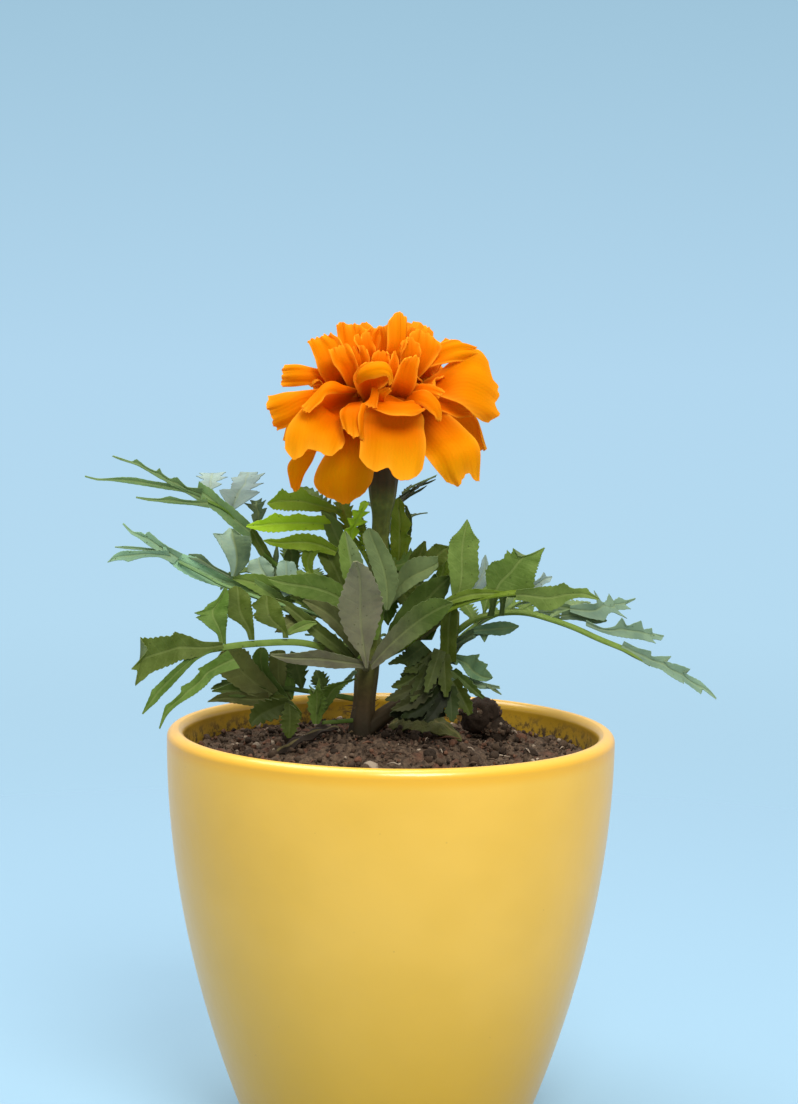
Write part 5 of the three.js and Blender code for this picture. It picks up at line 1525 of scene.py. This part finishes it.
# Petals of the near side, traced from the picture. Rungs run from root to tip, each from edge to edge as
# (x, y, depth, x, y, depth). tip says, from edge to edge, how many millimetres the end stands out past the
# last rung, and crown how far each rung's middle swells towards the viewer.
NEAR = {
    "far_right": {
        "rungs": [(419, 384, -3, 426, 392, -4), (440, 371, -3, 441, 397, -8), (457, 358, -1, 460, 403, -9),
            (474, 350, 0, 475, 417, -7), (487, 362, 0, 487, 421, -5)],
        "tip": (0, 1.4, 2.4, 2.6, 1.8, 2.8, 1), "crown": (0, -1, 0.6, 1.6, 1.2), "ruffle": 0.7,
    },
    "right_under": {
        "rungs": [(426, 398, -6, 432, 408, -8), (440, 396, -7, 444, 412, -8), (455, 400, -7.5, 458, 418, -6),
            (468, 403, -6, 469, 417, -4)],
        "tip": (0, 0.8, 0.6, 0), "crown": (0, -0.8, -0.8, 0), "ruffle": 0.4,
    },
    "right_ruffle": {
        "rungs": [(408, 366, -3, 413, 378, -4), (422, 353, -4, 428, 367, -6), (440, 343, -3, 446, 363, -5),
            (457, 340, -1, 463, 360, -3), (470, 345, 0, 476, 357, -1)],
        "tip": (0, 1, 1.2, 0.6), "crown": (0, -0.9, -0.6, 0.6, 0.2), "ruffle": 0.8,
    },
    "right_low": {
        "rungs": [(405, 418, -7, 430, 406, -6), (412, 431, -8.5, 450, 415, -7.5),
            (421, 449, -10, 467, 431, -8), (431, 464, -13, 480, 447, -11), (446, 481, -13, 480, 474, -11)],
        "tip": (0.4, 1.6, 1.4, -0.2, -0.6, 1.2, 1.8), "crown": (0, -1, 0.8, 1.6, 0.6), "ruffle": 0.5,
    },
    "front": {
        "rungs": [(374, 392, -11, 384, 392, -11), (364, 408, -17, 420, 412, -15),
            (360, 424, -17, 424, 430, -14.5), (360, 440, -18.5, 426, 446, -16.5),
            (359, 457, -20.5, 424, 461, -18.5)],
        "tip": (0, 2.6, 3.7, 2.7, 4.6, 5.6, 4.9, 2), "crown": (0, 0.4, 0.7, 1.2, 0.9), "ruffle": 0.45,
    },
    "front_lip": {
        "rungs": [(372, 405, -17, 373, 409, -18), (386, 402, -15, 386, 414, -21),
            (400, 403, -14.5, 400, 416.5, -21.5), (413, 402.5, -14, 412, 415.5, -20),
            (422, 406, -14, 424, 411, -17)],
        "tip": (0, 0.3, 0.3, 0), "crown": (0, 0.7, 1, 0.8, 0), "ruffle": 0.35,
    },
    "front_edge": {
        "rungs": [(362, 403, -19, 367, 404, -19), (358.5, 415, -20.5, 363, 416, -18.5),
            (358.3, 428, -20.5, 362.5, 429, -18.5), (360, 438, -19.5, 364, 440, -18.5)],
        "tip": (0, 0.3, 0), "crown": (0, 0.4, 0.4, 0.2), "ruffle": 0.15,
    },
    "front_low": {
        "rungs": [(345, 418, -9, 368, 418, -9), (336, 440, -12.5, 372, 440, -12.5),
            (322, 460, -12, 374, 461, -12), (314, 479, -10.5, 372, 480, -10.5),
            (320, 493, -8.5, 365, 492, -8.5)],
        "tip": (0, 1.2, 1.8, 2.4, 3, 1.6, 0), "crown": (0, 0.8, 1.4, 1.2, 0.8), "ruffle": 0.4,
    },
    "left_front": {
        "rungs": [(356, 394, -8, 364, 408, -9), (339, 390, -12, 354, 412, -12),
            (321, 396, -15, 345, 418, -15), (301, 410, -15, 343, 430, -16), (287, 428, -16.5, 345, 441, -17),
            (285, 446, -18, 342, 449, -18.5)],
        "tip": (0.4, 3.3, 3, 1.1, 1.2, 2.3, 2.2, 0), "crown": (0, -4.5, -4.5, -0.8, 1.8, 1.2), "ruffle": 0.4,
    },
    "left_roll": {
        "rungs": [(358, 389, -9, 355, 393, -9), (345, 386, -12, 341, 393, -13.5),
            (331, 381.5, -13.5, 327, 395, -17), (316, 393, -15, 321, 402, -18.5),
            (302, 406, -17, 310, 413, -18.5)],
        "tip": (0, 0.6, 0), "crown": (0, 0.5, 1, 0.7, 0.2), "ruffle": 0.3,
    },
    "front_small": {
        "rungs": [(349, 404, -13, 362, 402, -13), (340, 413, -17, 361, 411, -18),
            (343, 428, -19, 361, 430, -19.5)],
        "tip": (0, 1.4, 2.2, 2, 0.3), "crown": (0, 0.4, 0.8), "ruffle": 0.3,
    },
    "far_left": {
        "rungs": [(325, 388, -3, 316, 404, -4), (300, 391, -6, 303, 414, -7), (282, 393, -7.5, 289, 426, -7),
            (269, 397, -8, 279, 430, -6.5)],
        "tip": (0.2, 1.1, 0.6, 0.9, 0.4), "crown": (0, 1, 1.4, 0.8), "ruffle": 0.6,
    },
    "upper_left": {
        "rungs": [(340, 372, -1, 340, 388, -2), (318, 369, -2.5, 318, 385, -3.5),
            (299, 365, -2.5, 300, 386, -3.5), (285, 365, -1, 284, 387, -2)],
        "tip": (0, 0.5, 0.2, 0.6, 0.3), "crown": (0, 0.8, 1, 0.5), "ruffle": 0.4,
    },
    "small_hanging": {
        "rungs": [(308, 440, -9, 322, 440, -9), (298, 452, -11, 316, 452, -11),
            (288, 465, -10, 312, 461, -10), (289, 479, -8.5, 304, 475, -8.5), (291, 487, -7, 300, 487, -7)],
        "tip": (0, 0.8, 1.2, 0.8, 0), "crown": (0, 0.5, 0.9, 0.5, 0.2), "ruffle": 0.2,
    },
    "crest_corner": {
        "rungs": [(334, 392, -3, 352, 390, -3), (320, 374, -6, 349, 368, -6),
            (315, 359, -6.5, 345, 352, -6.5), (311, 348, -5, 340, 340, -5), (308, 342, -4, 333, 334, -3.5)],
        "tip": (0.7, 0.2, 0.9, 0.4, 1, 0.5), "crown": (0, 0.4, -0.7, -0.6, -0.3), "ruffle": 0.7,
    },
    "crest_left": {
        "rungs": [(352, 390, -2, 368, 388, -2), (343, 362, -4.5, 368, 360, -4), (339, 343, -4, 368, 341, -4),
            (337, 328, -3, 367, 330, -3)],
        "tip": (0.7, 1.9, 1.3, 1.7, 1.1, 0.3), "crown": (0, 1.2, -0.6, -1.4), "ruffle": 0.9,
    },
    "crest_left_inner": {
        "rungs": [(362, 388, -2, 377, 388, -2), (362, 362, -5, 380, 358, -3), (361, 343, -5, 381, 340, -1),
            (364, 333, -4, 383, 331, 1)],
        "tip": (0.5, 1.3, 1, 1.5, 0.4), "crown": (0, -0.6, -0.6, 0), "ruffle": 0.6,
    },
    "crest_split": {
        "rungs": [(374, 388, -3, 389, 388, -3), (375, 362, -3, 393, 358, -7), (376, 344, -1, 395, 339, -7),
            (376, 333, 1, 394, 328, -6)],
        "tip": (0.6, 1.9, 1.1, 1.7, 1.5, 1), "crown": (0, -0.6, -0.6, -0.2), "ruffle": 0.4,
    },
    "crest_middle": {
        "rungs": [(384, 380, -3, 400, 380, -3), (386, 350, -7.5, 406, 350, -5),
            (388, 327, -6.5, 407, 329, -3)],
        "tip": (1.2, 3.1, 3.9, 3.2, 1.4), "crown": (0, 0.9, 0.3), "ruffle": 0.4,
    },
    "crest_right": {
        "rungs": [(395, 386, -4, 410, 388, -4), (403, 364, -6, 430, 366, -6), (407, 346, -6, 440, 351, -5.5),
            (410, 334, -4.5, 440, 342, -4.5)],
        "tip": (0, 1.5, 2, 1.8, 1.3, 1.1, 0), "crown": (0, -0.8, -1, -0.6), "ruffle": 0.7,
    },
    "crest_right_low": {
        "rungs": [(400, 376, -6, 411, 377, -6), (400, 357, -9, 420, 358, -8),
            (402, 343, -8.5, 420, 345, -7.5)],
        "tip": (0.2, 1.3, 1.7, 0.9, 0.2), "crown": (0, -0.5, -0.6), "ruffle": 0.4,
    },
    "crest_flute": {
        "rungs": [(364, 378, -5, 376, 378, -5), (360, 356, -9, 376, 352, -7), (356, 343, -10, 373, 338, -6)],
        "tip": (0.3, 1.8, 0.8, 2, 0.3), "crown": (0, -1, -0.8), "ruffle": 0.5,
    },
    "crest_tuft": {
        "rungs": [(386, 374, -6, 396, 374, -6), (388, 356, -7, 403, 352, -9.5),
            (393, 346, -6, 408, 343, -9.5)],
        "tip": (0.2, 1.2, 0.6, 1.1, 0.2), "crown": (0, -0.7, -0.6), "ruffle": 0.4,
    },
    "crest_slope": {
        "rungs": [(351, 393, -7, 361, 390, -7), (341, 374, -11, 358, 366, -10.5),
            (333, 363, -12, 354, 355, -11), (329, 352, -11, 350, 346, -10)],
        "tip": (0.2, 0.9, 0.8, 1, 0.3), "crown": (0, -0.8, -0.8, -0.4), "ruffle": 0.5,
    },
    "crest_fold": {
        "rungs": [(356, 386, -7, 369, 384, -7), (350, 366, -10, 370, 362, -10.5),
            (349, 353, -10, 367, 350, -10)],
        "tip": (0, 1.2, 1, 1.4, 0.3), "crown": (0, -0.9, -0.7), "ruffle": 0.5,
    },
    "crest_front": {
        "rungs": [(374, 380, -8, 386, 380, -8), (371, 364, -11.5, 390, 364, -11.5),
            (373, 355, -11.5, 389, 355, -11.5)],
        "tip": (0.1, 1, 0.8, 0.9, 0.2), "crown": (0, 0.4, -0.3), "ruffle": 0.4,
    },
    "upright": {
        "rungs": [(386, 404, -9, 402, 405, -9), (392, 385, -14, 415, 387, -13),
            (399, 368, -15, 418, 369, -14), (403, 360, -15, 419, 362, -13.5)],
        "tip": (0, 0.8, 1, 1.5, 0.9), "crown": (0, -0.6, -0.9, -0.3), "ruffle": 0.35,
    },
    "upright_small": {
        "rungs": [(388, 398, -9, 396, 398, -9), (388, 376, -13, 398, 376, -13),
            (389, 362, -13.5, 399, 362, -13)],
        "tip": (0, 1.1, 2.5, 1.6, 0), "crown": (0, -0.6, -0.4), "ruffle": 0.2,
    },
    "hood": {
        "rungs": [(366, 404, -10, 380, 405, -10), (358, 392, -13, 377, 392, -16),
            (353, 378, -15, 384, 386, -19.5), (358, 368, -16.5, 391, 378, -20),
            (366, 362, -17, 391, 371, -20)],
        "tip": (0, 0.5, 0.8, 0.5, 0), "crown": (0, -2.4, -2.6, -1.2, 0.8), "ruffle": 0.3,
    },
    "hood_band": {
        "rungs": [(356, 380, -17.5, 359, 384, -18), (360, 370, -18.5, 366, 380, -20),
            (372, 363, -19.5, 375, 378, -21.5), (385, 363, -20, 386, 376, -21.5),
            (391, 372, -19.5, 390, 385, -20.5)],
        "tip": (0, 0.8, 0), "crown": (0, 0.8, 1.2, 0.9, 0.2), "ruffle": 0.25,
    },
    "hood_stem": {
        "rungs": [(372, 388, -17, 381, 388, -17), (370, 398, -17.5, 378, 398, -18),
            (363, 404, -18.5, 377, 408, -19)],
        "tip": (0, 0.4, 0.4, 0), "crown": (0, 0.5, 0.4), "ruffle": 0.2,
    },
    "hood_ear": {
        "rungs": [(378, 400, -16, 384, 402, -16), (379, 391, -17.5, 386, 396, -17.5),
            (385, 387, -18, 391, 391, -18)],
        "tip": (0, 0.4, 0), "crown": (0, 0.3, 0.2), "ruffle": 0.15,
    },
    "cup_right": {
        "rungs": [(383, 408, -12, 392, 392, -10), (398, 412, -16, 404, 384, -10),
            (414, 412, -16, 420, 384, -10), (424, 410, -15.5, 429, 392, -11)],
        "tip": (0, 0.6, 0.8, 0.3), "crown": (0, -2.4, -2.4, -0.6), "ruffle": 0.4,
    },
    "right_point": {
        "rungs": [(404, 404, -12, 412, 392, -11), (420, 405, -16, 427, 391, -14),
            (431, 413, -17.5, 438, 402, -15.5), (436, 420, -17.5, 441, 413, -16.5)],
        "tip": (0, 0.8, 1.1, 0.3), "crown": (0, 0.8, 0.8, 0.3), "ruffle": 0.3,
    },
    "right_fold": {
        "rungs": [(410, 399, -10, 414, 385, -9), (424, 396, -12.5, 427, 384, -11),
            (437, 398, -13.5, 440, 388, -12)],
        "tip": (0.2, 0.9, 1.4, 0.4), "crown": (0, 0.7, 0.3), "ruffle": 0.4,
    },
}
# The rest of the crest, by rule: its petals stand round a centre, each turned on by the golden angle from the
# last, and lean out more and more down to the lowest.
CREST = {
    "count": 26,
    "centre": (-2.5, 0, 163),
    "reach": (20, 18, 25),
    "uneven": 0.07,
    "shoulder": 0.75,  # less makes the crest boxier
    "golden": 137.508,
    "lowest": 80,  # degrees from upright
    "turned": 35,  # degrees that a petal may turn on its own axis
    "width": (8.6, 12.6),
    "stations": (0.42, 0.72, 1),
    "arch": 1.2,
    "held_back": 0.3,
}
# The ball that the petals grow from, and the point in it round which their colour is deepest: the painted
# shade round the heart.
HEART = {"centre": (-2.5, -0.3, 167.8), "radii": (10, 10.8, 9), "depths": (-3.5, -1, 165)}
PETAL = {"thick": 0.42, "thinner": 0.35, "rounded": 0.13, "notched": 0.11, "cup": 0.16}
SEEDS = {"near": 20, "crest": 40, "feather": 50}  # the first seed of each kind


def petal(shape, path, width, face, widths, seed, ruffle=0.6, waves=2.2, lobes=0, size=(26, 19)):
    """Adds a petal along a path, with its middle towards face and an end of as many lobes as it says.

    widths are those along it, ruffle is how high its folds stand and waves how many lie across it.
    """
    way, t = Path(path), np.linspace(0, 1, size[0])
    u, v = grid_of(t, np.linspace(-1, 1, size[1]))
    coarse, fine = 9 * math.pi * v + 5 * jitter(seed, 1), 17 * math.pi * v + 3 * jitter(seed, 2)
    cut = PETAL["rounded"] * np.abs(v) ** 2.6 + 0.02 * np.sin(coarse) + 0.014 * np.sin(fine)
    if lobes:
        phase = lobes * math.pi / 2 * (v + 0.1 * jitter(seed, 8)) + (lobes % 2) * math.pi / 2
        cut = cut + PETAL["notched"] * np.abs(np.cos(phase)) ** 6
    shortened = np.maximum(0, cut) * width / way.length
    s = np.clip(u * (1 - shortened * u**3), 0, 1)
    along = way.along(t, 0.04)
    across = unit(np.cross(along, vec(*face)))
    up = np.cross(across, along)
    grow = evened(np.interp(t, *np.transpose(widths))[:, None], 2)
    rim = 1 + 0.02 * np.sin(14 * u + 9 * jitter(seed, 6)) * np.abs(v)
    side = v * grow * width / 2 * rim * (1 - 0.1 * u**8)
    shift = 2 * math.pi * jitter(seed, 3)
    wave = np.sin(waves * math.pi * v + shift + 1.5 * u) * (0.35 + 0.65 * np.abs(v))
    edge = np.sin(2 * math.pi * (2.4 * u + jitter(seed, 4)) + 2 * (v > 0)) * np.abs(v) ** 3
    lift = ruffle * (u**1.4 * wave + 0.8 * u * edge + 0.5 * u**6 * np.sin(5 * math.pi * v + shift))
    cup = PETAL["cup"] * width * v**2 * u
    place = way.at(s) + side[..., None] * across[:, None] + (lift - cup)[..., None] * up[:, None]
    thickness = PETAL["thick"] * (1 - PETAL["thinner"] * np.maximum(v**4, u**6))
    sheet(shape, place, thickness, up.mean(0), edge=np.maximum(v**6, u**10), reach=side)


def near_petal(shape, plan, seed, rows=30, columns=25):
    """Adds a petal stretched between its two traced edges, with a lobed end and a gentle ruffle."""
    rungs = plan["rungs"]
    t, across_shares = np.linspace(0, 1, rows), np.linspace(-1, 1, columns)
    u, v = grid_of(t, across_shares)
    one = knots([seen(*rung[:3]) for rung in rungs], t)
    two = knots([seen(*rung[3:]) for rung in rungs], t)
    share = 0.5 + 0.5 * v[..., None]
    place = one[:, None] * (1 - share) + two[:, None] * share
    stand = knots(np.array(plan["tip"])[:, None], 0.5 + 0.5 * across_shares)[:, 0]
    notches = 0.16 * np.sin(11 * v + 6 * jitter(seed, 2)) + 0.1 * np.sin(23 * v + 4 * jitter(seed, 9))
    end = smooth((u - 0.55) / 0.45) ** 1.5
    place = place + (end * (stand + notches))[..., None] * unit(place[-1] - place[-4])
    normal = unit(np.cross(unit(two - one), unit(np.gradient((one + two) / 2, axis=0))))
    view = vec(*EYE["at"]) - place.mean((0, 1))
    normal = np.where((normal @ view)[:, None] < 0, -normal, normal)
    crown = knots(np.array(plan["crown"])[:, None], t) * (1 - v**2)
    shift = 2 * math.pi * jitter(seed, 3)
    wave = np.sin(2.3 * math.pi * v + shift + 1.2 * u) * (0.3 + 0.7 * np.abs(v))
    rim = np.sin(2 * math.pi * (1.9 * u + jitter(seed, 4)) + 2 * (v > 0)) * np.abs(v) ** 3
    frill = 0.4 * u**7 * np.sin(5.5 * math.pi * v + shift)
    lift = crown + plan["ruffle"] * (u**1.3 * wave + 0.8 * u * rim + frill)
    place = place + lift[..., None] * normal[:, None]
    border = np.maximum(v**8, u**12)
    reach = v * np.linalg.norm(two - one, axis=1)[:, None] / 2
    thickness = PETAL["thick"] * (1 - PETAL["thinner"] * border)
    sheet(shape, place, thickness, normal.mean(0), edge=border, reach=reach)


def crest_petal(shape, i):
    """Adds petal i of the crest that stands by rule."""
    share = (i + 0.5) / CREST["count"]
    lean, a = math.radians(CREST["lowest"]) * math.sqrt(share), i * math.radians(CREST["golden"])
    wide = math.sin(lean) ** CREST["shoulder"]
    out = vec(wide * math.cos(a), wide * math.sin(a), math.cos(lean) ** CREST["shoulder"])
    near = smooth((2 - out[1] * CREST["reach"][1]) / 10)  # those in front stay behind the traced petals
    far = out * vec(*CREST["reach"]) * (1 + CREST["uneven"] * jitter(i, 3)) * (1 - CREST["held_back"] * near)
    path = [far * s + vec(*CREST["centre"]) for s in CREST["stations"]]
    path[1] = path[1] + vec(0, 0, CREST["arch"])
    b = a + math.radians(CREST["turned"] * jitter(i, 5))
    inward = (-math.cos(b), -math.sin(b), 0.9 * math.sin(lean))
    width = CREST["width"][0] + (CREST["width"][1] - CREST["width"][0]) * share
    lobes = (0, 2, 3)[i % 3]
    seed = i + SEEDS["crest"]
    petal(shape, path, width, inward, CREST_WIDTHS, seed, ruffle=0.8, waves=2.3, lobes=lobes, size=(20, 17))


def make_bloom(look):
    shape = Shape()
    points, tris = ball(4)
    shape.add(points * vec(*HEART["radii"]) + vec(*HEART["centre"]), tris=tris)
    for i, (path, width, face) in enumerate(PETALS):
        petal(shape, path, width, face, WIDTHS, i)
    for i, plan in enumerate(NEAR.values()):
        near_petal(shape, plan, i + SEEDS["near"])
    for i in range(CREST["count"]):
        crest_petal(shape, i)
    depths = vec(*HEART["depths"])
    # away sets the painted shade round the heart.
    shape.mark("away", lambda points: np.linalg.norm(points - depths, axis=1))
    # low is the painted light on the lowest petals.
    shape.mark("low", lambda points: 0.85 * smooth((depths[2] + 2 - points[:, 2]) / 14))
    piece("ruffled_bloom", "bloom", shape, look, crease=60)


# ---------------------------------------------------------------- leaves lying on the compost

# Rows from end to end as (x, y, width), and how high the leaf lies over the compost, arches and tilts.
LYING = {
    "fallen_leaf": {
        "rows": [(16.5, 4.5, 1.2), (13, 5, 6.4), (9.5, 6, 9.6), (6, 7, 9), (2.5, 8, 7.2), (-0.5, 9, 1.4)],
        "clear": 0.95,
        "lift": 1.2,
        "tilt": 0.42,
        "tint": linear(84, 88, 42),
    },
    "dry_leaf": {
        "rows": [(-12.5, 6, 1), (-15.5, 4.5, 3.2), (-19, 2.5, 3.8), (-23, 1, 3), (-26.5, -2, 0.8)],
        "clear": 1.0,
        "lift": 0.8,
        "tilt": 0.4,
        "tint": linear(40, 31, 24),
    },
}
# Its sheet: how thick it is, how many teeth its sides have and how deep they are, and how far the sides curl.
LYING_FORM = {"thick": 0.4, "teeth": 11, "saw": 0.07, "curl": 0.5}


def make_lying(name, leaf, look, size=(34, 13)):
    """Makes a leaf that follows the compost under it."""
    shape = Shape()
    t = np.linspace(0, 1, size[0])
    u, v = grid_of(t, np.linspace(-1, 1, size[1]))
    x, middle, width = (column[:, None] for column in Path(leaf["rows"]).at(t).T)
    saw = 1 + LYING_FORM["saw"] * (u * LYING_FORM["teeth"] % 1 - 0.5) * v**2
    side = v * width / 2 * saw
    x, y = np.broadcast_to(x, size), middle + side
    arch = leaf["lift"] * (1 - v**2) * np.sin(math.pi * u)
    curl = LYING_FORM["curl"] * np.sin(5 * u) * np.abs(v) ** 3
    propped = leaf["tilt"] * (side + width / 2)  # the far side rests on crumbs
    z = hill(x, y) + leaf["clear"] + arch + curl + propped
    tint = np.broadcast_to(leaf["tint"], (*size, 3))
    sheet(shape, np.stack([x, y, z], -1), LYING_FORM["thick"], vec(0, 0, 1), reach=side, tint=tint)
    piece(name.replace("leaf", "blade"), name, shape, look)


# ---------------------------------------------------------------- camera, light and stage

SKY = {
    "top": rgb(158, 196, 218),
    "middle": rgb(178, 215, 239),
    "bottom": rgb(182, 220, 242),
    "dome": rgb(214, 213, 212),
}
# How far down and up the backdrop's colours reach, as the rise of a view, and the middle colour's share.
HORIZON = {"lowest": -0.16, "highest": 0.11, "middle": 0.45}
# The floor's radius, how far it lies under the pot, the distances where it fades, and how clear it is there.
FLOOR = {"radius": 1.6, "drop": 0.0002, "fades": (0.05, 0.9), "clear": (0.35, 1.0)}
# Lamps: place, aim and size in metres, power in watts and colour.
LAMPS = {
    "key": ((0.2, -0.62, 0.8), (0, 0, 0.12), 0.5, 10.2, (1, 0.96, 0.87)),
    "top": ((-0.2, 0.15, 0.9), (0, 0, 0.12), 0.7, 7.0, (1, 0.96, 0.9)),
}


def make_camera():
    """Puts the camera where it sees what the picture shows."""
    data = bpy.data.cameras.new("camera")
    data.lens, data.sensor_width, data.clip_start = EYE["lens"], EYE["sensor"], 0.01
    camera = bpy.data.objects.new("camera", data)
    bpy.context.collection.objects.link(camera)
    columns = np.stack([*eye_axes(), vec(*EYE["at"]) * MM], -1)
    camera.matrix_world = Matrix([*columns.tolist(), (0, 0, 0, 1)])
    bpy.context.scene.camera = camera


def make_lamp(name, at, aim, size, power, colour):
    data = bpy.data.lights.new(name, "AREA")
    data.shape, data.size, data.energy, data.color = "DISK", size, power, colour
    lamp = bpy.data.objects.new(name, data)
    lamp.location = at
    lamp.rotation_euler = (Vector(aim) - Vector(at)).to_track_quat("-Z", "Y").to_euler()
    bpy.context.collection.objects.link(lamp)


def make_sky():
    """A graded backdrop that only the camera sees, and an even dome that lights the plant."""
    world = bpy.data.worlds.new("studio")
    bpy.context.scene.world = world
    world.use_nodes = True
    nodes, link = world.node_tree.nodes, world.node_tree.links.new
    where, split = nodes.new("ShaderNodeTexCoord"), nodes.new("ShaderNodeSeparateXYZ")
    link(where.outputs["Generated"], split.inputs[0])
    spread, ramp = nodes.new("ShaderNodeMapRange"), nodes.new("ShaderNodeValToRGB")
    spread.inputs["From Min"].default_value = HORIZON["lowest"]
    spread.inputs["From Max"].default_value = HORIZON["highest"]
    link(split.outputs["Z"], spread.inputs["Value"])
    link(spread.outputs["Result"], ramp.inputs["Fac"])
    stops = ramp.color_ramp.elements
    stops[0].color, stops[1].color = SKY["bottom"], SKY["top"]
    stops.new(HORIZON["middle"]).color = SKY["middle"]
    backdrop, dome = nodes["Background"], nodes.new("ShaderNodeBackground")
    link(ramp.outputs["Color"], backdrop.inputs["Color"])
    dome.inputs["Color"].default_value = SKY["dome"]
    rays, both = nodes.new("ShaderNodeLightPath"), nodes.new("ShaderNodeMixShader")
    link(rays.outputs["Is Camera Ray"], both.inputs[0])
    link(dome.outputs[0], both.inputs[1])
    link(backdrop.outputs[0], both.inputs[2])
    link(both.outputs[0], nodes["World Output"].inputs["Surface"])


def make_floor():
    """A pale disc that fades into the backdrop away from the pot."""
    mesh = bpy.data.meshes.new("floor")
    bm = bmesh.new()
    bmesh.ops.create_circle(bm, cap_ends=True, segments=128, radius=FLOOR["radius"])
    bm.to_mesh(mesh)
    bm.free()
    look = Look("floor", Roughness=0.7, Specular_IOR_Level=0.2, Base_Color=rgb(140, 176, 202))
    away = look.node("ShaderNodeVectorMath", {0: look.place()}, operation="LENGTH").outputs["Value"]
    faded = look.span(away, *FLOOR["fades"], *FLOOR["clear"])
    look.blend_in(faded, look.node("ShaderNodeBsdfTransparent"))
    mesh.materials.append(look.material)
    floor = bpy.data.objects.new("floor", mesh)
    floor.location.z = -FLOOR["drop"]
    bpy.context.collection.objects.link(floor)


# ---------------------------------------------------------------- assembly

bpy.context.scene.view_settings.view_transform = "Standard"
make_camera()
make_sky()
for name, lamp in LAMPS.items():
    make_lamp(name, *lamp)
make_floor()

make_pot()
make_compost()
wood, green, orange, spent = stem_look(), leaf_look(), petal_look(), dry_look()
make_stem(wood)
make_stalk(wood)
for number, (name, leaf) in enumerate(LEAVES.items()):
    make_leaf(name, leaf, number, green)
for number, (name, plan) in enumerate(FEATHERS.items()):
    make_leaf(name, feather(plan, number), number + SEEDS["feather"], green)
make_bloom(orange)
for name, leaf in LYING.items():
    make_lying(name, leaf, spent)
